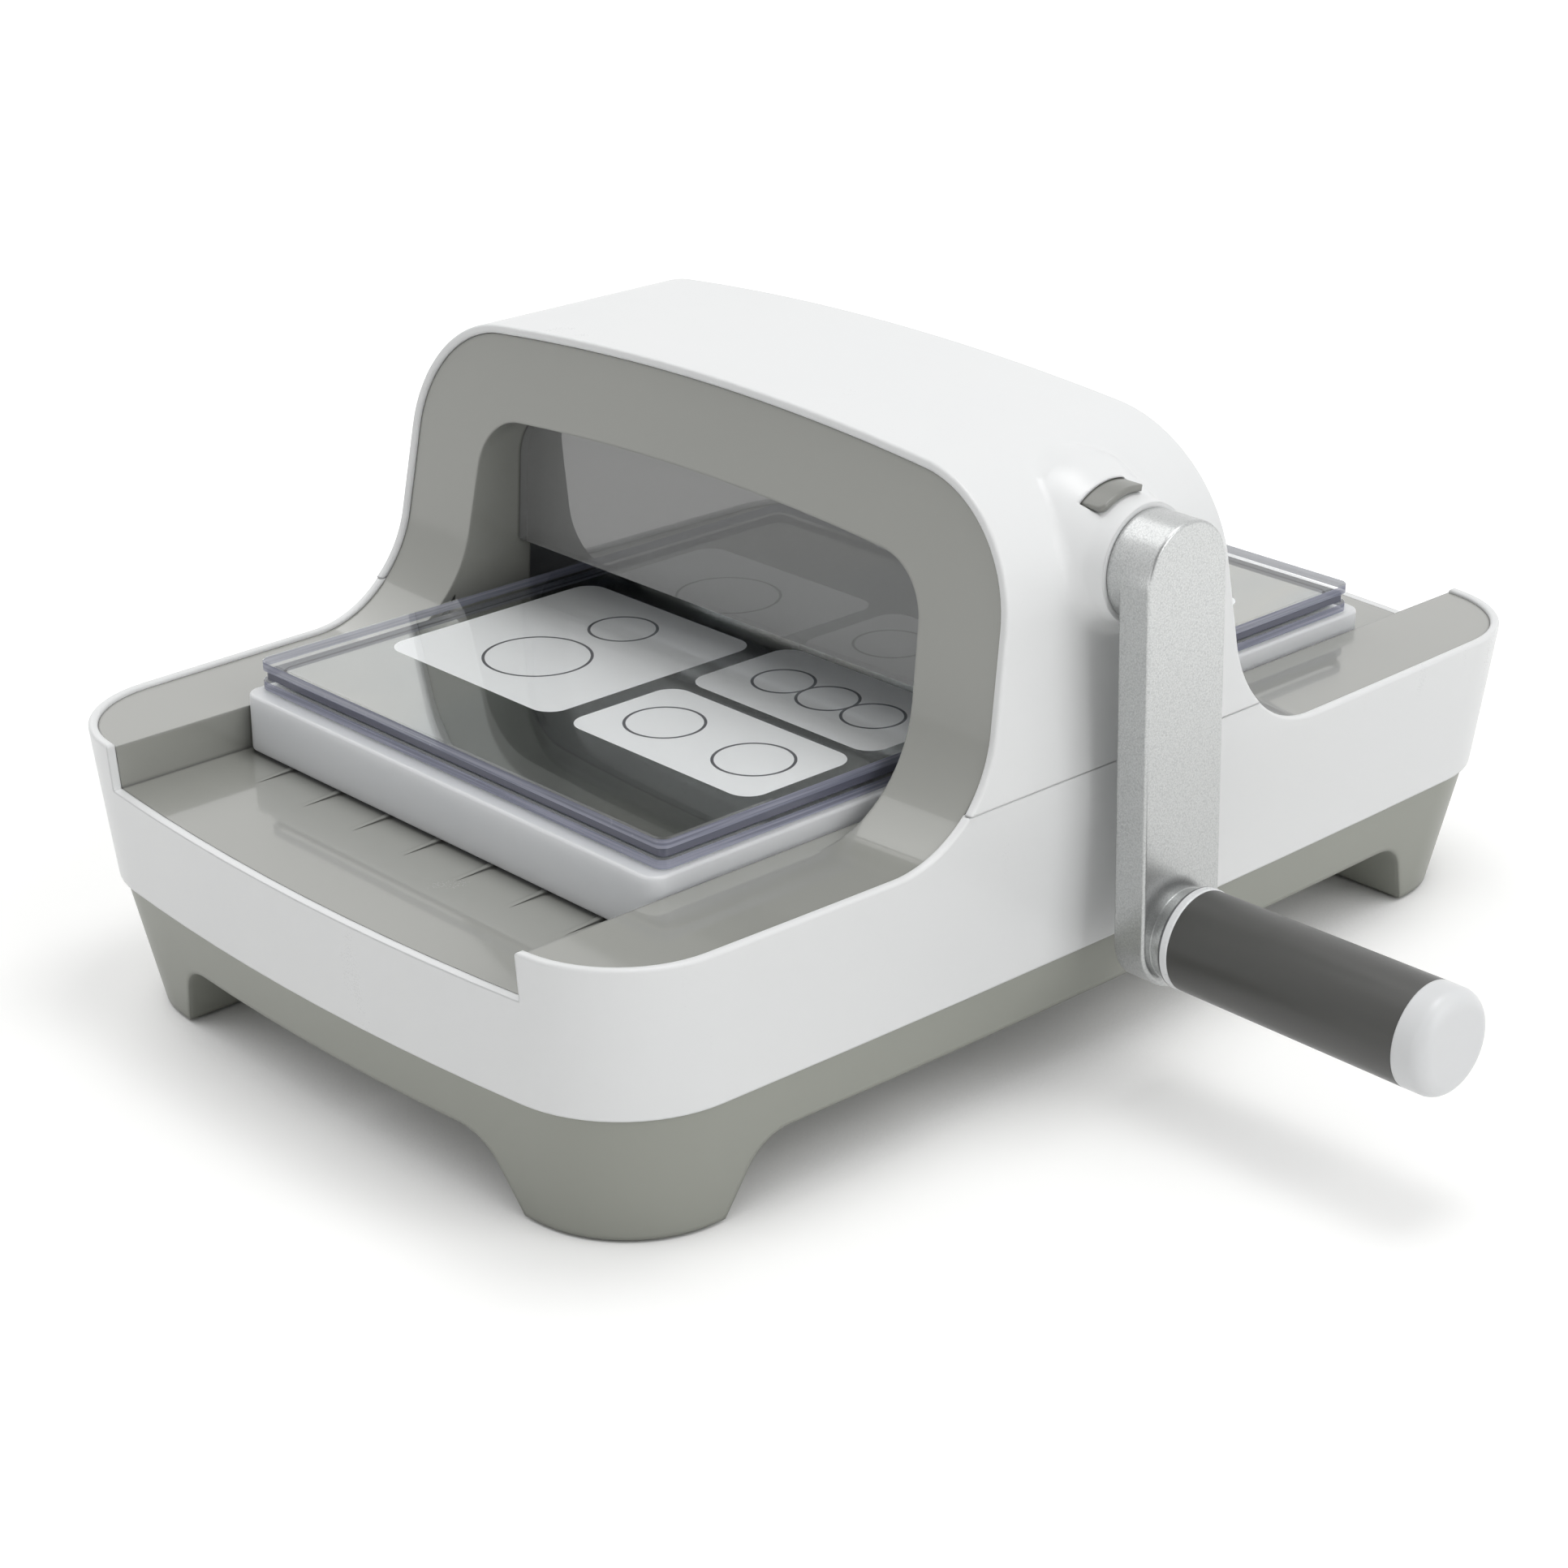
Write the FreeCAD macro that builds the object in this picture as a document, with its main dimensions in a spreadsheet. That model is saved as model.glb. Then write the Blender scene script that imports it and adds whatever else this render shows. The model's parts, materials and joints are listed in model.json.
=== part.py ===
# A hand-cranked die cutting machine for paper crafts: two geared steel rollers under an arch,
# a tray on each side, and a platform with cutting pads that the rollers draw through.
# Millimetres. +X is the crank side, -Y the front, +Z up, Z = 0 the table.
import FreeCAD, Part
import math
import os

import Sketcher
from FreeCAD import Rotation, Vector

os.makedirs("parts", exist_ok=True)
doc = FreeCAD.newDocument("DieCutter")

# Driving sizes. Heights end in _z, half sizes start with half_.
SIZES = {
    # lower shell, seen from above
    "shell_room": 11.4,
    "half_long": 172.9,
    "corner_round": 31.0,
    "corner_low_round": 34.0,
    "bow_round": 700.0,
    "side_round": 4500.0,
    "tray_shift": 8.3,
    "tray_deep": 11.4,
    "rim_proud": 1.0,
    "rim_soft": 0.8,
    "apron_low_z": 36.5,
    "apron_draft": 0.08,
    "wall": 2.4,
    "seam": 0.12,
    "parting_rise": 10.0,
    "parting_gap": 0.3,
    # arch over the rollers, seen from the front, and the leaning fascia, seen from the side
    "arch_lean": 0.055,
    "arch_corner": 35.5,
    "crown_rise": 27.75,
    "crown_round": 800.0,
    "fascia_y": 37.55,
    "fascia_ref_z": 130.0,
    "fascia_lean": 0.16,
    "sweep_round": 33.0,
    # mouth of the tunnel and the tray
    "skin": 2.6,
    "roller_room": 6.25,
    "channel_gap": 0.7,
    "mouth_step": 5.4,
    "mouth_lean": 0.069,
    "mouth_drop": 24.6,
    "mouth_round": 780.0,
    "mouth_corner": 16.0,
    "jamb_behind": 1.5,
    "floor_end": 18.0,
    "window_deep": 15.55,
    "window_gap": 9.0,
    "window_thick": 2.5,
    "runner_count": 7,
    "runner_pitch": 20.0,
    "runner_wide": 1.6,
    "runner_high": 0.6,
    "runner_short": 33.9,
    "runner_ramp": 12.0,
    "deck_post_x": 60.0,
    "deck_post_y": 110.0,
    "deck_post_radius": 5.0,
    # base with its four feet
    "base_step": 1.3,
    "base_lip": 6.0,
    "foot_step_wide": 10.7,
    "foot_step_long": 11.6,
    "foot_corner": 30.0,
    "foot_z": 1.0,
    "skirt_low_z": 21.0,
    "floor_thick": 4.0,
    "foot_side": 14.8,
    "foot_end": 14.0,
    "notch_slope": 0.42,
    "notch_round": 12.0,
    "foot_pad_inset_x": 19.0,
    "foot_pad_inset_y": 21.3,
    "foot_pad_radius": 8.0,
    "foot_pad_thick": 2.5,
    # platform, cutting pads and plate
    "half_platform_wide": 78.9,
    "half_platform_long": 127.9,
    "platform_thick": 15.4,
    "platform_corner": 1.5,
    "platform_bevel": 0.4,
    "pad_step_wide": 1.5,
    "pad_step_long": 4.3,
    "pad_thick": 3.1,
    "pad_corner": 3.0,
    "pad_bevel": 0.4,
    "plate_thick": 2.0,
    "plate_inset": 1.0,
    "slide_gap": 0.2,
    "nip_gap": 0.25,
    # gears
    "sync_teeth": 19,
    "sync_module": 1.0,
    "drive_teeth": 29,
    "pinion_teeth": 12,
    "drive_module": 1.5,
    "gear_wide": 5.0,
    "pressure_angle": 25.0,
    "backlash": 0.2,
    "tooth_rise": 0.9,
    "tooth_depth": 1.15,
    # shafts, bushes and side frames
    "shaft_radius": 6.0,
    "run_gap": 0.05,
    "end_gap": 0.3,
    "seat_gap": 0.02,
    "bush_radius": 9.0,
    "flange_radius": 11.0,
    "flange_thick": 2.2,
    "bush_proud": 1.0,
    "shaft_proud": 1.5,
    "frame_gap": 1.4,
    "frame_thick": 4.0,
    "frame_edge": 7.0,
    "frame_rise": 13.55,
    "frame_round": 9.0,
    "frame_foot": 16.0,
    "stud_radius": 4.0,
    "stud_head_radius": 6.0,
    "stud_head_thick": 1.4,
    "tie_radius": 4.0,
    "tie_bore": 2.5,
    "tie_jamb_gap": 1.0,
    "tie_rise": 4.55,
    "tie_roller_gap": 0.55,
    "tie_lift": 15.0,
    "tie_screw_long": 12.0,
    "screw_radius": 2.0,
    "screw_gap": 0.05,
    "screw_head_radius": 4.0,
    "screw_head_thick": 1.8,
    "screw_long": 14.0,
    "frame_screw_y": 20.0,
    # crank and grip
    "boss_proud": 4.5,
    "boss_long": 40.7,
    "boss_radius": 14.7,
    "boss_neck_long": 5.0,
    "boss_neck_radius": 15.3,
    "boss_neck_round": 6.0,
    "boss_taper": 0.42,
    "boss_root_radius": 22.0,
    "boss_blend": 5.0,
    "boss_bush_radius": 8.0,
    "boss_bush_long": 7.0,
    "hub_radius": 13.6,
    "hub_land": 4.0,
    "arm_thick": 9.0,
    "arm_reach": 91.4,
    "arm_tilt": 2.3,
    "arm_low_radius": 13.8,
    "arm_soft": 0.8,
    "arm_back": 4.4,
    "neck_radius": 11.4,
    "neck_long": 3.0,
    "spindle_radius": 4.0,
    "spindle_head_radius": 6.0,
    "spindle_head_long": 3.0,
    "core_radius": 8.0,
    "collar_radius": 13.0,
    "collar_long": 3.1,
    "grip_start_radius": 12.8,
    "grip_end_radius": 13.15,
    "grip_long": 66.1,
    "cap_long": 8.6,
    "cap_round": 4.0,
    "cap_plug_radius": 7.0,
    "cap_plug_long": 5.0,
    # release button
    "button_inner": 15.9,
    "button_high": 1.7,
    "button_start": -13.0,
    "button_sweep": 49.0,
    "button_sunk": 4.7,
    "button_round": 2.0,
    "leaf_reach": 3.5,
    "button_slot_gap": 0.3,
    "button_soft": 0.7,
    "leaf_wide": 3.0,
    "leaf_thick": 0.4,
    "leaf_angle": 20.0,
    "leaf_lift": 9.35,
    "leaf_foot": 2.4,
}


def write_sheet(name, values):
    page = doc.addObject("Spreadsheet::Sheet", name)
    for row, (alias, value) in enumerate(values.items(), start=1):
        page.set(f"A{row}", alias)
        page.set(f"B{row}", str(value))
        page.setAlias(f"B{row}", alias)
    doc.recompute()
    return page


sheets = {"Sizes": write_sheet("Sizes", SIZES)}


def size(alias):
    page = "Sizes" if alias in SIZES else "Places"
    return float(sheets[page].get(alias))


def bind(thing, prop, alias):
    page = "Sizes" if alias in SIZES else "Places"
    thing.setExpression(prop, f"{page}.{alias}")


def work_out_places():
    # Heights and reaches that follow from the driving sizes.
    places = {}

    # Heights, from the floor over the rollers to the crown. The gear chain fixes the distance of the
    # roller axes, and the stack in the nip then gives the rollers' radius.
    stack = size("platform_thick") + 2 * size("pad_thick") + size("plate_thick")
    places["sync_pitch"] = size("sync_teeth") * size("sync_module")
    axis_distance = 3 * places["sync_pitch"]
    radius = (axis_distance - stack - 2 * size("nip_gap")) / 2
    places["roller_radius"] = radius
    places["floor_z"] = size("skirt_low_z") + size("floor_thick")
    places["low_roller_z"] = places["floor_z"] + size("roller_room") + radius
    places["low_idler_z"] = places["low_roller_z"] + places["sync_pitch"]
    places["top_idler_z"] = places["low_idler_z"] + places["sync_pitch"]
    places["top_roller_z"] = places["top_idler_z"] + places["sync_pitch"]
    places["platform_z"] = places["low_roller_z"] + radius + size("nip_gap")
    places["low_pad_z"] = places["platform_z"] + size("platform_thick")
    places["plate_z"] = places["low_pad_z"] + size("pad_thick")
    places["top_pad_z"] = places["plate_z"] + size("plate_thick")
    places["stack_top_z"] = places["top_pad_z"] + size("pad_thick")
    places["tray_z"] = places["platform_z"] - size("runner_high") - size("slide_gap")
    places["rim_z"] = places["tray_z"] + size("tray_deep")
    places["parting_z"] = places["rim_z"] + size("parting_rise")
    drive_distance = (size("drive_teeth") + size("pinion_teeth")) * size("drive_module") / 2
    places["crank_z"] = places["top_roller_z"] + drive_distance
    places["crown_z"] = places["crank_z"] + size("crown_rise")
    places["mouth_top_z"] = places["crown_z"] - size("mouth_drop")
    places["window_low_z"] = places["stack_top_z"] + size("window_gap")
    places["frame_top_z"] = places["crank_z"] + size("frame_rise")
    places["tie_top_z"] = places["crank_z"] + size("tie_rise")
    places["tie_low_z"] = places["floor_z"] + size("tie_lift")
    places["leaf_low_z"] = places["crank_z"] + size("leaf_lift")
    places["leaf_bend_z"] = places["leaf_low_z"] + size("leaf_foot")
    arm_turn = math.radians(size("arm_tilt"))
    places["grip_y"] = size("arm_reach") * math.sin(arm_turn)
    places["grip_z"] = places["crank_z"] - size("arm_reach") * math.cos(arm_turn)

    # Along X, from the middle outwards.
    places["half_pad_wide"] = size("half_platform_wide") - size("pad_step_wide")
    places["half_channel"] = size("half_platform_wide") + size("channel_gap")
    places["half_mouth"] = places["half_channel"] + size("mouth_step")
    places["frame_x"] = places["half_mouth"] + size("skin") + size("frame_gap")
    places["flange_x"] = places["frame_x"] - size("flange_thick")
    places["half_barrel"] = places["flange_x"] - size("end_gap")
    places["frame_out_x"] = places["frame_x"] + size("frame_thick")
    places["gear_x"] = places["frame_out_x"] + size("bush_proud") + size("end_gap")
    places["gear_out_x"] = places["gear_x"] + size("gear_wide")
    places["shaft_end_x"] = places["gear_out_x"] + size("shaft_proud")
    places["half_wide"] = places["shaft_end_x"] + size("shell_room")
    places["half_foot_wide"] = places["half_wide"] - size("foot_step_wide")
    places["foot_pad_x"] = places["half_foot_wide"] - size("foot_pad_inset_x")
    places["half_notch_wide"] = places["foot_pad_x"] - size("foot_side")
    places["boss_x"] = places["half_wide"] + size("boss_proud")
    places["boss_start_x"] = places["boss_x"] - size("boss_long")
    places["button_end_x"] = places["boss_x"] - size("button_sunk")
    places["button_tail_x"] = places["frame_out_x"] + size("leaf_reach")
    places["hub_x"] = places["boss_x"] + size("end_gap")
    places["arm_x"] = places["hub_x"] + size("hub_land")
    places["arm_out_x"] = places["arm_x"] + size("arm_thick")
    places["collar_x"] = places["arm_out_x"] + size("neck_long") + size("end_gap")
    places["grip_x"] = places["collar_x"] + size("collar_long")
    places["cap_x"] = places["grip_x"] + size("grip_long")
    places["cap_out_x"] = places["cap_x"] + size("cap_long")

    # Along Y, from the roller axes or from the middle of the trays.
    places["half_pad_long"] = size("half_platform_long") - size("pad_step_long")
    places["window_y"] = size("fascia_y") - size("window_deep")
    places["jamb_end"] = places["window_y"] - size("jamb_behind")
    places["tie_top_y"] = places["jamb_end"] - size("tie_radius") - size("tie_jamb_gap")
    places["tie_low_y"] = radius + size("tie_radius") + size("tie_roller_gap")
    places["half_frame"] = places["tie_low_y"] + size("frame_edge")
    places["half_foot_long"] = size("half_long") - size("foot_step_long")
    places["foot_pad_y"] = places["half_foot_long"] - size("foot_pad_inset_y")
    places["half_notch_long"] = places["foot_pad_y"] - size("foot_end")
    places["runner_start"] = size("half_long") - size("runner_short")

    # The origin stands under the middle of the whole machine, crank included. The sketches have
    # their Y origin at the roller axes, which lie in front of the middle of the trays.
    places["shift"] = -(places["cap_out_x"] - places["half_wide"]) / 2
    places["shift_y"] = -size("tray_shift")
    places["grip_shift_y"] = places["grip_y"] - size("tray_shift")

    places["bush_gap_radius"] = size("shaft_radius") + size("run_gap")
    places["bush_seat_radius"] = size("bush_radius") + size("seat_gap")
    places["shaft_seat_radius"] = size("shaft_radius") + size("seat_gap")
    places["stud_gap_radius"] = size("stud_radius") + size("run_gap")
    places["screw_hole"] = size("screw_radius") + size("screw_gap")
    taper = size("apron_draft") * (places["rim_z"] - size("apron_low_z"))
    places["apron_half_wide"] = places["half_wide"] - taper
    places["apron_half_long"] = size("half_long") - taper
    return places


sheets["Places"] = write_sheet("Places", work_out_places())

nodes = []


# Plane outlines. A step is a point (a straight edge) or a pair of points (an arc through the first).
def rounded(corners):
    # A polygon of (x, y, radius) corners, with tangent arcs where the radius isn't 0.
    steps = []
    for index, (x, y, radius) in enumerate(corners):
        here = Vector(x, y, 0)
        if radius == 0:
            steps.append(here)
            continue
        before = Vector(*corners[index - 1][:2], 0) - here
        after = Vector(*corners[(index + 1) % len(corners)][:2], 0) - here
        before.normalize()
        after.normalize()
        half_angle = before.getAngle(after) / 2
        reach = radius / math.tan(half_angle)
        middle = before + after
        middle.normalize()
        bulge = radius / math.sin(half_angle) - radius
        steps.append(here + before * reach)
        steps.append((here + middle * bulge, here + after * reach))
    return steps


def plan_steps(half_wide, half_long, corner, bow, side_bow):
    # Rectangle with round corners and bowed sides, about the middle of the trays.
    bow_centre = Vector(0, bow - half_long, 0)
    side_centre = Vector(half_wide - side_bow, 0, 0)
    # The corner's centre is where two circles about the centres of the bows meet.
    line = side_centre - bow_centre
    apart = line.Length
    line = line / apart
    along = ((bow - corner) ** 2 - (side_bow - corner) ** 2 + apart ** 2) / (2 * apart)
    across = math.sqrt((bow - corner) ** 2 - along ** 2)
    centre = bow_centre + line * along + Vector(-line.y, line.x, 0) * across
    end_join = bow_centre + (centre - bow_centre) * (bow / (bow - corner))
    side_join = side_centre + (centre - side_centre) * (side_bow / (side_bow - corner))
    towards = end_join + side_join - centre * 2
    towards.normalize()
    bend = centre + towards * corner

    def at(point, x_sign, y_sign):
        return Vector(x_sign * point.x, y_sign * point.y + size("tray_shift"), 0)

    front = Vector(0, -half_long, 0)
    right = Vector(half_wide, 0, 0)
    return [
        at(end_join, -1, 1),
        (at(front, 1, 1), at(end_join, 1, 1)),
        (at(bend, 1, 1), at(side_join, 1, 1)),
        (at(right, 1, 1), at(side_join, 1, -1)),
        (at(bend, 1, -1), at(end_join, 1, -1)),
        (at(front, 1, -1), at(end_join, -1, -1)),
        (at(bend, -1, -1), at(side_join, -1, -1)),
        (at(right, -1, 1), at(side_join, -1, 1)),
        (at(bend, -1, 1), at(end_join, -1, 1)),
    ]


def arch_steps(half, lean, base_z, corner, crown_z, crown, bottom_z):
    # Leaning sides, rounded shoulders and a crowned top, closed by a straight bottom.
    lean_long = math.hypot(1, lean)
    inward = Vector(-1, -lean, 0) / lean_long
    upward = Vector(-lean, 1, 0) / lean_long
    start = Vector(half, base_z, 0) + inward * corner
    crown_centre = Vector(0, crown_z - crown, 0)
    offset = start - crown_centre
    along = offset.dot(upward)
    climb = -along + math.sqrt(along ** 2 - offset.dot(offset) + (crown - corner) ** 2)
    centre = start + upward * climb
    side = centre - inward * corner
    outward = centre - crown_centre
    outward.normalize()
    shoulder = crown_centre + outward * crown
    middle = outward - inward
    middle.normalize()
    bend = centre + middle * corner
    foot_x = half - lean * (bottom_z - base_z)

    def flip(point):
        return Vector(-point.x, point.y, 0)

    return [
        Vector(-foot_x, bottom_z, 0),
        Vector(foot_x, bottom_z, 0),
        side,
        (bend, shoulder),
        (Vector(0, crown_z, 0), flip(shoulder)),
        (flip(bend), flip(side)),
    ]


def cover_steps(inset, bottom_z):
    return arch_steps(
        size("half_wide") - inset, size("arch_lean"), size("parting_z"), size("arch_corner") - inset,
        size("crown_z") - inset, size("crown_round") - inset, bottom_z)


def mouth_steps(inset, bottom_z):
    return arch_steps(
        size("half_mouth") - inset, size("mouth_lean"), size("rim_z"), size("mouth_corner") - inset,
        size("mouth_top_z") - inset, size("mouth_round") - inset, bottom_z)


def shell_plan(inset):
    return plan_steps(
        size("half_wide") - inset, size("half_long") - inset,
        size("corner_round") - inset, size("bow_round") - inset, size("side_round") - inset)


def apron_plan(inset):
    return plan_steps(
        size("apron_half_wide") - inset, size("apron_half_long") - inset,
        size("corner_low_round") - inset, size("bow_round") - inset, size("side_round") - inset)


def fascia_edge(z, proud):
    # Distance of the leaning fascia from the middle plane at height z.
    return size("fascia_y") - size("fascia_lean") * (z - size("fascia_ref_z")) \
        + proud * math.hypot(1, size("fascia_lean"))


def air_corners(end, proud):
    # The air over one tray and in front of the fascia. end is -1 at the front, 1 at the rear.
    far = size("half_long") + size("tray_shift") + size("sweep_round")
    top = size("crown_z") + size("sweep_round")
    rim = size("rim_z") + proud
    return [
        (end * far, rim, 0),
        (end * fascia_edge(rim, proud), rim, size("sweep_round") - proud),
        (end * fascia_edge(top, proud), top, 0),
        (end * far, top, 0),
    ]


def gear_steps(teeth, module, centre_z, turn):
    # Involute teeth with flanks in two chords, one tooth pointing up when turn is 0.
    pressure = math.radians(size("pressure_angle"))
    pitch = teeth * module / 2
    base = pitch * math.cos(pressure)
    tip = pitch + size("tooth_rise") * module
    root = pitch - size("tooth_depth") * module
    pitch_half = math.pi / (2 * teeth) - size("backlash") / (4 * pitch)

    def half_angle(radius):
        slope = math.acos(min(1.0, base / radius))
        return pitch_half + (math.tan(pressure) - pressure) - (math.tan(slope) - slope)

    flank = [max(base, root), pitch, tip]
    steps = []
    for tooth in range(int(teeth)):
        middle = turn + math.pi / 2 - tooth * 2 * math.pi / teeth
        rising = [(root, -half_angle(flank[0]))] + [(radius, -half_angle(radius)) for radius in flank]
        falling = [(radius, -angle) for radius, angle in reversed(rising)]
        for radius, angle in rising + falling:
            heading = middle - angle
            steps.append(Vector(radius * math.cos(heading), centre_z + radius * math.sin(heading), 0))
    return steps


# Document objects.
def new_body(label, height=None):
    body = doc.addObject("PartDesign::Body", label)
    body.Label = label
    bind(body, "Placement.Base.x", "shift")
    bind(body, "Placement.Base.y", "shift_y")
    if height:
        bind(body, "Placement.Base.z", height)
    nodes.append(body)
    return body


def origin_part(body, role):
    return next(part for part in body.Origin.OriginFeatures if part.Role == role)


def new_sketch(body, role, offset=None, back=False):
    # role is the origin plane; offset, a named size, moves the sketch along the plane's normal.
    sketch = body.newObject("Sketcher::SketchObject", body.Name + "_sketch")
    sketch.AttachmentSupport = [(origin_part(body, role), "")]
    sketch.MapMode = "FlatFace"
    if offset:
        page = "Sizes" if offset in SIZES else "Places"
        sign = "-" if back else ""
        sketch.setExpression("AttachmentOffset.Base.z", f"{sign}{page}.{offset}")
    return sketch


def draw(sketch, steps):
    # Adds the closed outline of the steps, joined end to end.
    first = sketch.GeometryCount
    ends = [step[1] if isinstance(step, tuple) else step for step in steps]
    edges = []
    for index, step in enumerate(steps):
        start = ends[index - 1]
        if isinstance(step, tuple):
            edges.append(Part.Arc(start, step[0], step[1]))
        elif (step - start).Length > 1e-6:
            edges.append(Part.LineSegment(start, step))
    sketch.addGeometry(edges, False)
    return first


def draw_box(sketch, low_x, low_y, high_x, high_y):
    corners = [(low_x, low_y, 0), (high_x, low_y, 0), (high_x, high_y, 0), (low_x, high_y, 0)]
    draw(sketch, rounded(corners))


def draw_circle(sketch, x, y, radius):
    # radius is a named size, bound to the sheet.
    circle = Part.Circle(Vector(x, y, 0), Vector(0, 0, 1), size(radius))
    index = sketch.addGeometry(circle, False)
    number = sketch.addConstraint(Sketcher.Constraint("Radius", index, size(radius)))
    bind(sketch, f"Constraints[{number}]", radius)


def pad(body, sketch, length, reverse=False, double=False):
    # length is a named size; double pads that far to both sides of the sketch.
    feature = body.newObject("PartDesign::Pad", body.Name + "_pad")
    feature.Profile = sketch
    bind(feature, "Length", length)
    feature.Reversed = reverse
    if double:
        feature.SideType = "Symmetric"
        page = "Sizes" if length in SIZES else "Places"
        feature.setExpression("Length", f"2 * {page}.{length}")
    body.Tip = feature
    return feature


def cut_through(body, sketch):
    # A pocket to both sides, as long as everything.
    feature = body.newObject("PartDesign::Pocket", body.Name + "_cut")
    feature.Profile = sketch
    feature.SideType = "Symmetric"
    feature.Type = "ThroughAll"
    body.Tip = feature
    return feature


def cut_deep(body, sketch, depth, reverse=False):
    feature = body.newObject("PartDesign::Pocket", body.Name + "_pocket")
    feature.Profile = sketch
    bind(feature, "Length", depth)
    feature.Reversed = reverse
    body.Tip = feature
    return feature


def loft(body, kind, low, high):
    feature = body.newObject(kind, body.Name + "_loft")
    feature.Profile = low
    feature.Sections = [high]
    feature.Ruled = True
    body.Tip = feature
    return feature


def turned(label, steps, height, across="shift_y"):
    # A piece turned about its own X axis: steps are (x, radius) points of the half section.
    body = new_body(label, height)
    bind(body, "Placement.Base.y", across)
    sketch = new_sketch(body, "XZ_Plane")
    draw(sketch, steps)
    feature = body.newObject("PartDesign::Revolution", label + "_turn")
    feature.Profile = sketch
    feature.ReferenceAxis = (origin_part(body, "X_Axis"), [""])
    feature.Angle = 360
    body.Tip = feature
    return body


def soften(body, radius, picked):
    # Rounds the tip's edges for which picked(edge) holds.
    doc.recompute()
    base = body.Tip
    names = [f"Edge{number}" for number, edge in enumerate(base.Shape.Edges, start=1) if picked(edge)]
    feature = body.newObject("PartDesign::Fillet", body.Name + "_round")
    feature.Base = (base, names)
    bind(feature, "Radius", radius)
    body.Tip = feature
    return feature


def bevel(body, amount, picked):
    doc.recompute()
    base = body.Tip
    names = [f"Edge{number}" for number, edge in enumerate(base.Shape.Edges, start=1) if picked(edge)]
    feature = body.newObject("PartDesign::Chamfer", body.Name + "_bevel")
    feature.Base = (base, names)
    bind(feature, "Size", amount)
    body.Tip = feature
    return feature


def borders_air(edge):
    # True for an edge of the ledge, sweep or fascia that the air cut leaves, but not across them.
    proud = size("rim_proud")
    rim = size("rim_z") + proud
    bend = size("sweep_round") - proud
    if edge.BoundBox.YLength < 1e-4:
        return False
    for point in edge.discretize(5):
        out = abs(point.y)
        up = point.z
        bend_y = fascia_edge(rim + bend, proud + bend)
        misses = (
            abs(up - rim), abs(out - fascia_edge(up, proud)) / math.hypot(1, size("fascia_lean")),
            abs(math.hypot(out - bend_y, up - rim - bend) - bend))
        if min(misses) > 1e-3:
            return False
    return True


def lies_at(edge, axis, value):
    # True for an edge that lies in the plane where that coordinate has the value.
    low = getattr(edge.BoundBox, axis + "Min")
    high = getattr(edge.BoundBox, axis + "Max")
    return abs(low - value) < 1e-4 and abs(high - value) < 1e-4


def rod(name, radius, length, base, direction):
    # radius and length are named sizes.
    piece = doc.addObject("Part::Cylinder", name)
    bind(piece, "Radius", radius)
    bind(piece, "Height", length)
    piece.Placement = FreeCAD.Placement(base, Rotation(Vector(0, 0, 1), direction))
    return piece


def group(label, pieces):
    together = doc.addObject("Part::MultiFuse", label)
    together.Shapes = pieces
    together.Label = label
    bind(together, "Placement.Base.x", "shift")
    bind(together, "Placement.Base.y", "shift_y")
    nodes.append(together)
    return together


# Base shell: a drafted tub on four feet, with a lip that locates the apron.
def base_shell():
    body = new_body("base_shell")
    foot = new_sketch(body, "XY_Plane", "foot_z")
    draw(foot, plan_steps(
        size("half_foot_wide"), size("half_foot_long"), size("foot_corner"),
        size("bow_round"), size("side_round")))
    shoulder = new_sketch(body, "XY_Plane", "apron_low_z")
    draw(shoulder, apron_plan(size("base_step")))
    loft(body, "PartDesign::AdditiveLoft", foot, shoulder)

    lip = new_sketch(body, "XY_Plane", "apron_low_z")
    draw(lip, apron_plan(size("wall") + size("seam")))
    pad(body, lip, "base_lip")

    inside = new_sketch(body, "XY_Plane", "floor_z")
    draw(inside, apron_plan(2 * size("wall") + size("base_step")))
    cut_deep(body, inside, "crown_z", reverse=True)

    low = -size("foot_z")
    top = size("skirt_low_z")
    slope = size("notch_slope")
    for role, half, middle in (
            ("XZ_Plane", "half_notch_wide", 0), ("YZ_Plane", "half_notch_long", size("tray_shift"))):
        notch = new_sketch(body, role)
        wide = size(half) - slope * low
        narrow = size(half) - slope * top
        bend = size("notch_round")
        draw(notch, rounded([
            (middle - wide, low, 0), (middle + wide, low, 0),
            (middle + narrow, top, bend), (middle - narrow, top, bend)]))
        cut_through(body, notch)

    recess = new_sketch(body, "XY_Plane", "foot_pad_thick")
    for x, y in foot_places():
        draw_circle(recess, x, y, "foot_pad_radius")
    cut_deep(body, recess, "foot_pad_thick")

    holes = new_sketch(body, "XY_Plane", "floor_z")
    heads = new_sketch(body, "XY_Plane", "skirt_low_z")
    for x, y in screw_places():
        draw_circle(holes, x, y, "screw_hole")
        draw_circle(heads, x, y, "screw_head_radius")
    cut_deep(body, holes, "floor_thick")
    cut_deep(body, heads, "screw_head_thick", reverse=True)


def foot_places():
    middle = size("tray_shift")
    return [(x * size("foot_pad_x"), middle + y * size("foot_pad_y")) for x in (-1, 1) for y in (-1, 1)]


def screw_places():
    posts = [(x * size("deck_post_x"), post_y(y)) for x in (-1, 1) for y in (-1, 1)]
    flange_x = size("frame_x") - size("frame_foot") / 2
    flanges = [(x * flange_x, y * size("frame_screw_y")) for x in (-1, 1) for y in (-1, 1)]
    return posts + flanges


def post_y(end):
    return size("tray_shift") + end * size("deck_post_y")


def foot_pads():
    pieces = []
    up = Vector(0, 0, 1)
    for number, (x, y) in enumerate(foot_places(), start=1):
        pieces.append(rod(f"foot_pad_{number}", "foot_pad_radius", "foot_pad_thick", Vector(x, y, 0), up))
    group("foot_pads", pieces)


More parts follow.
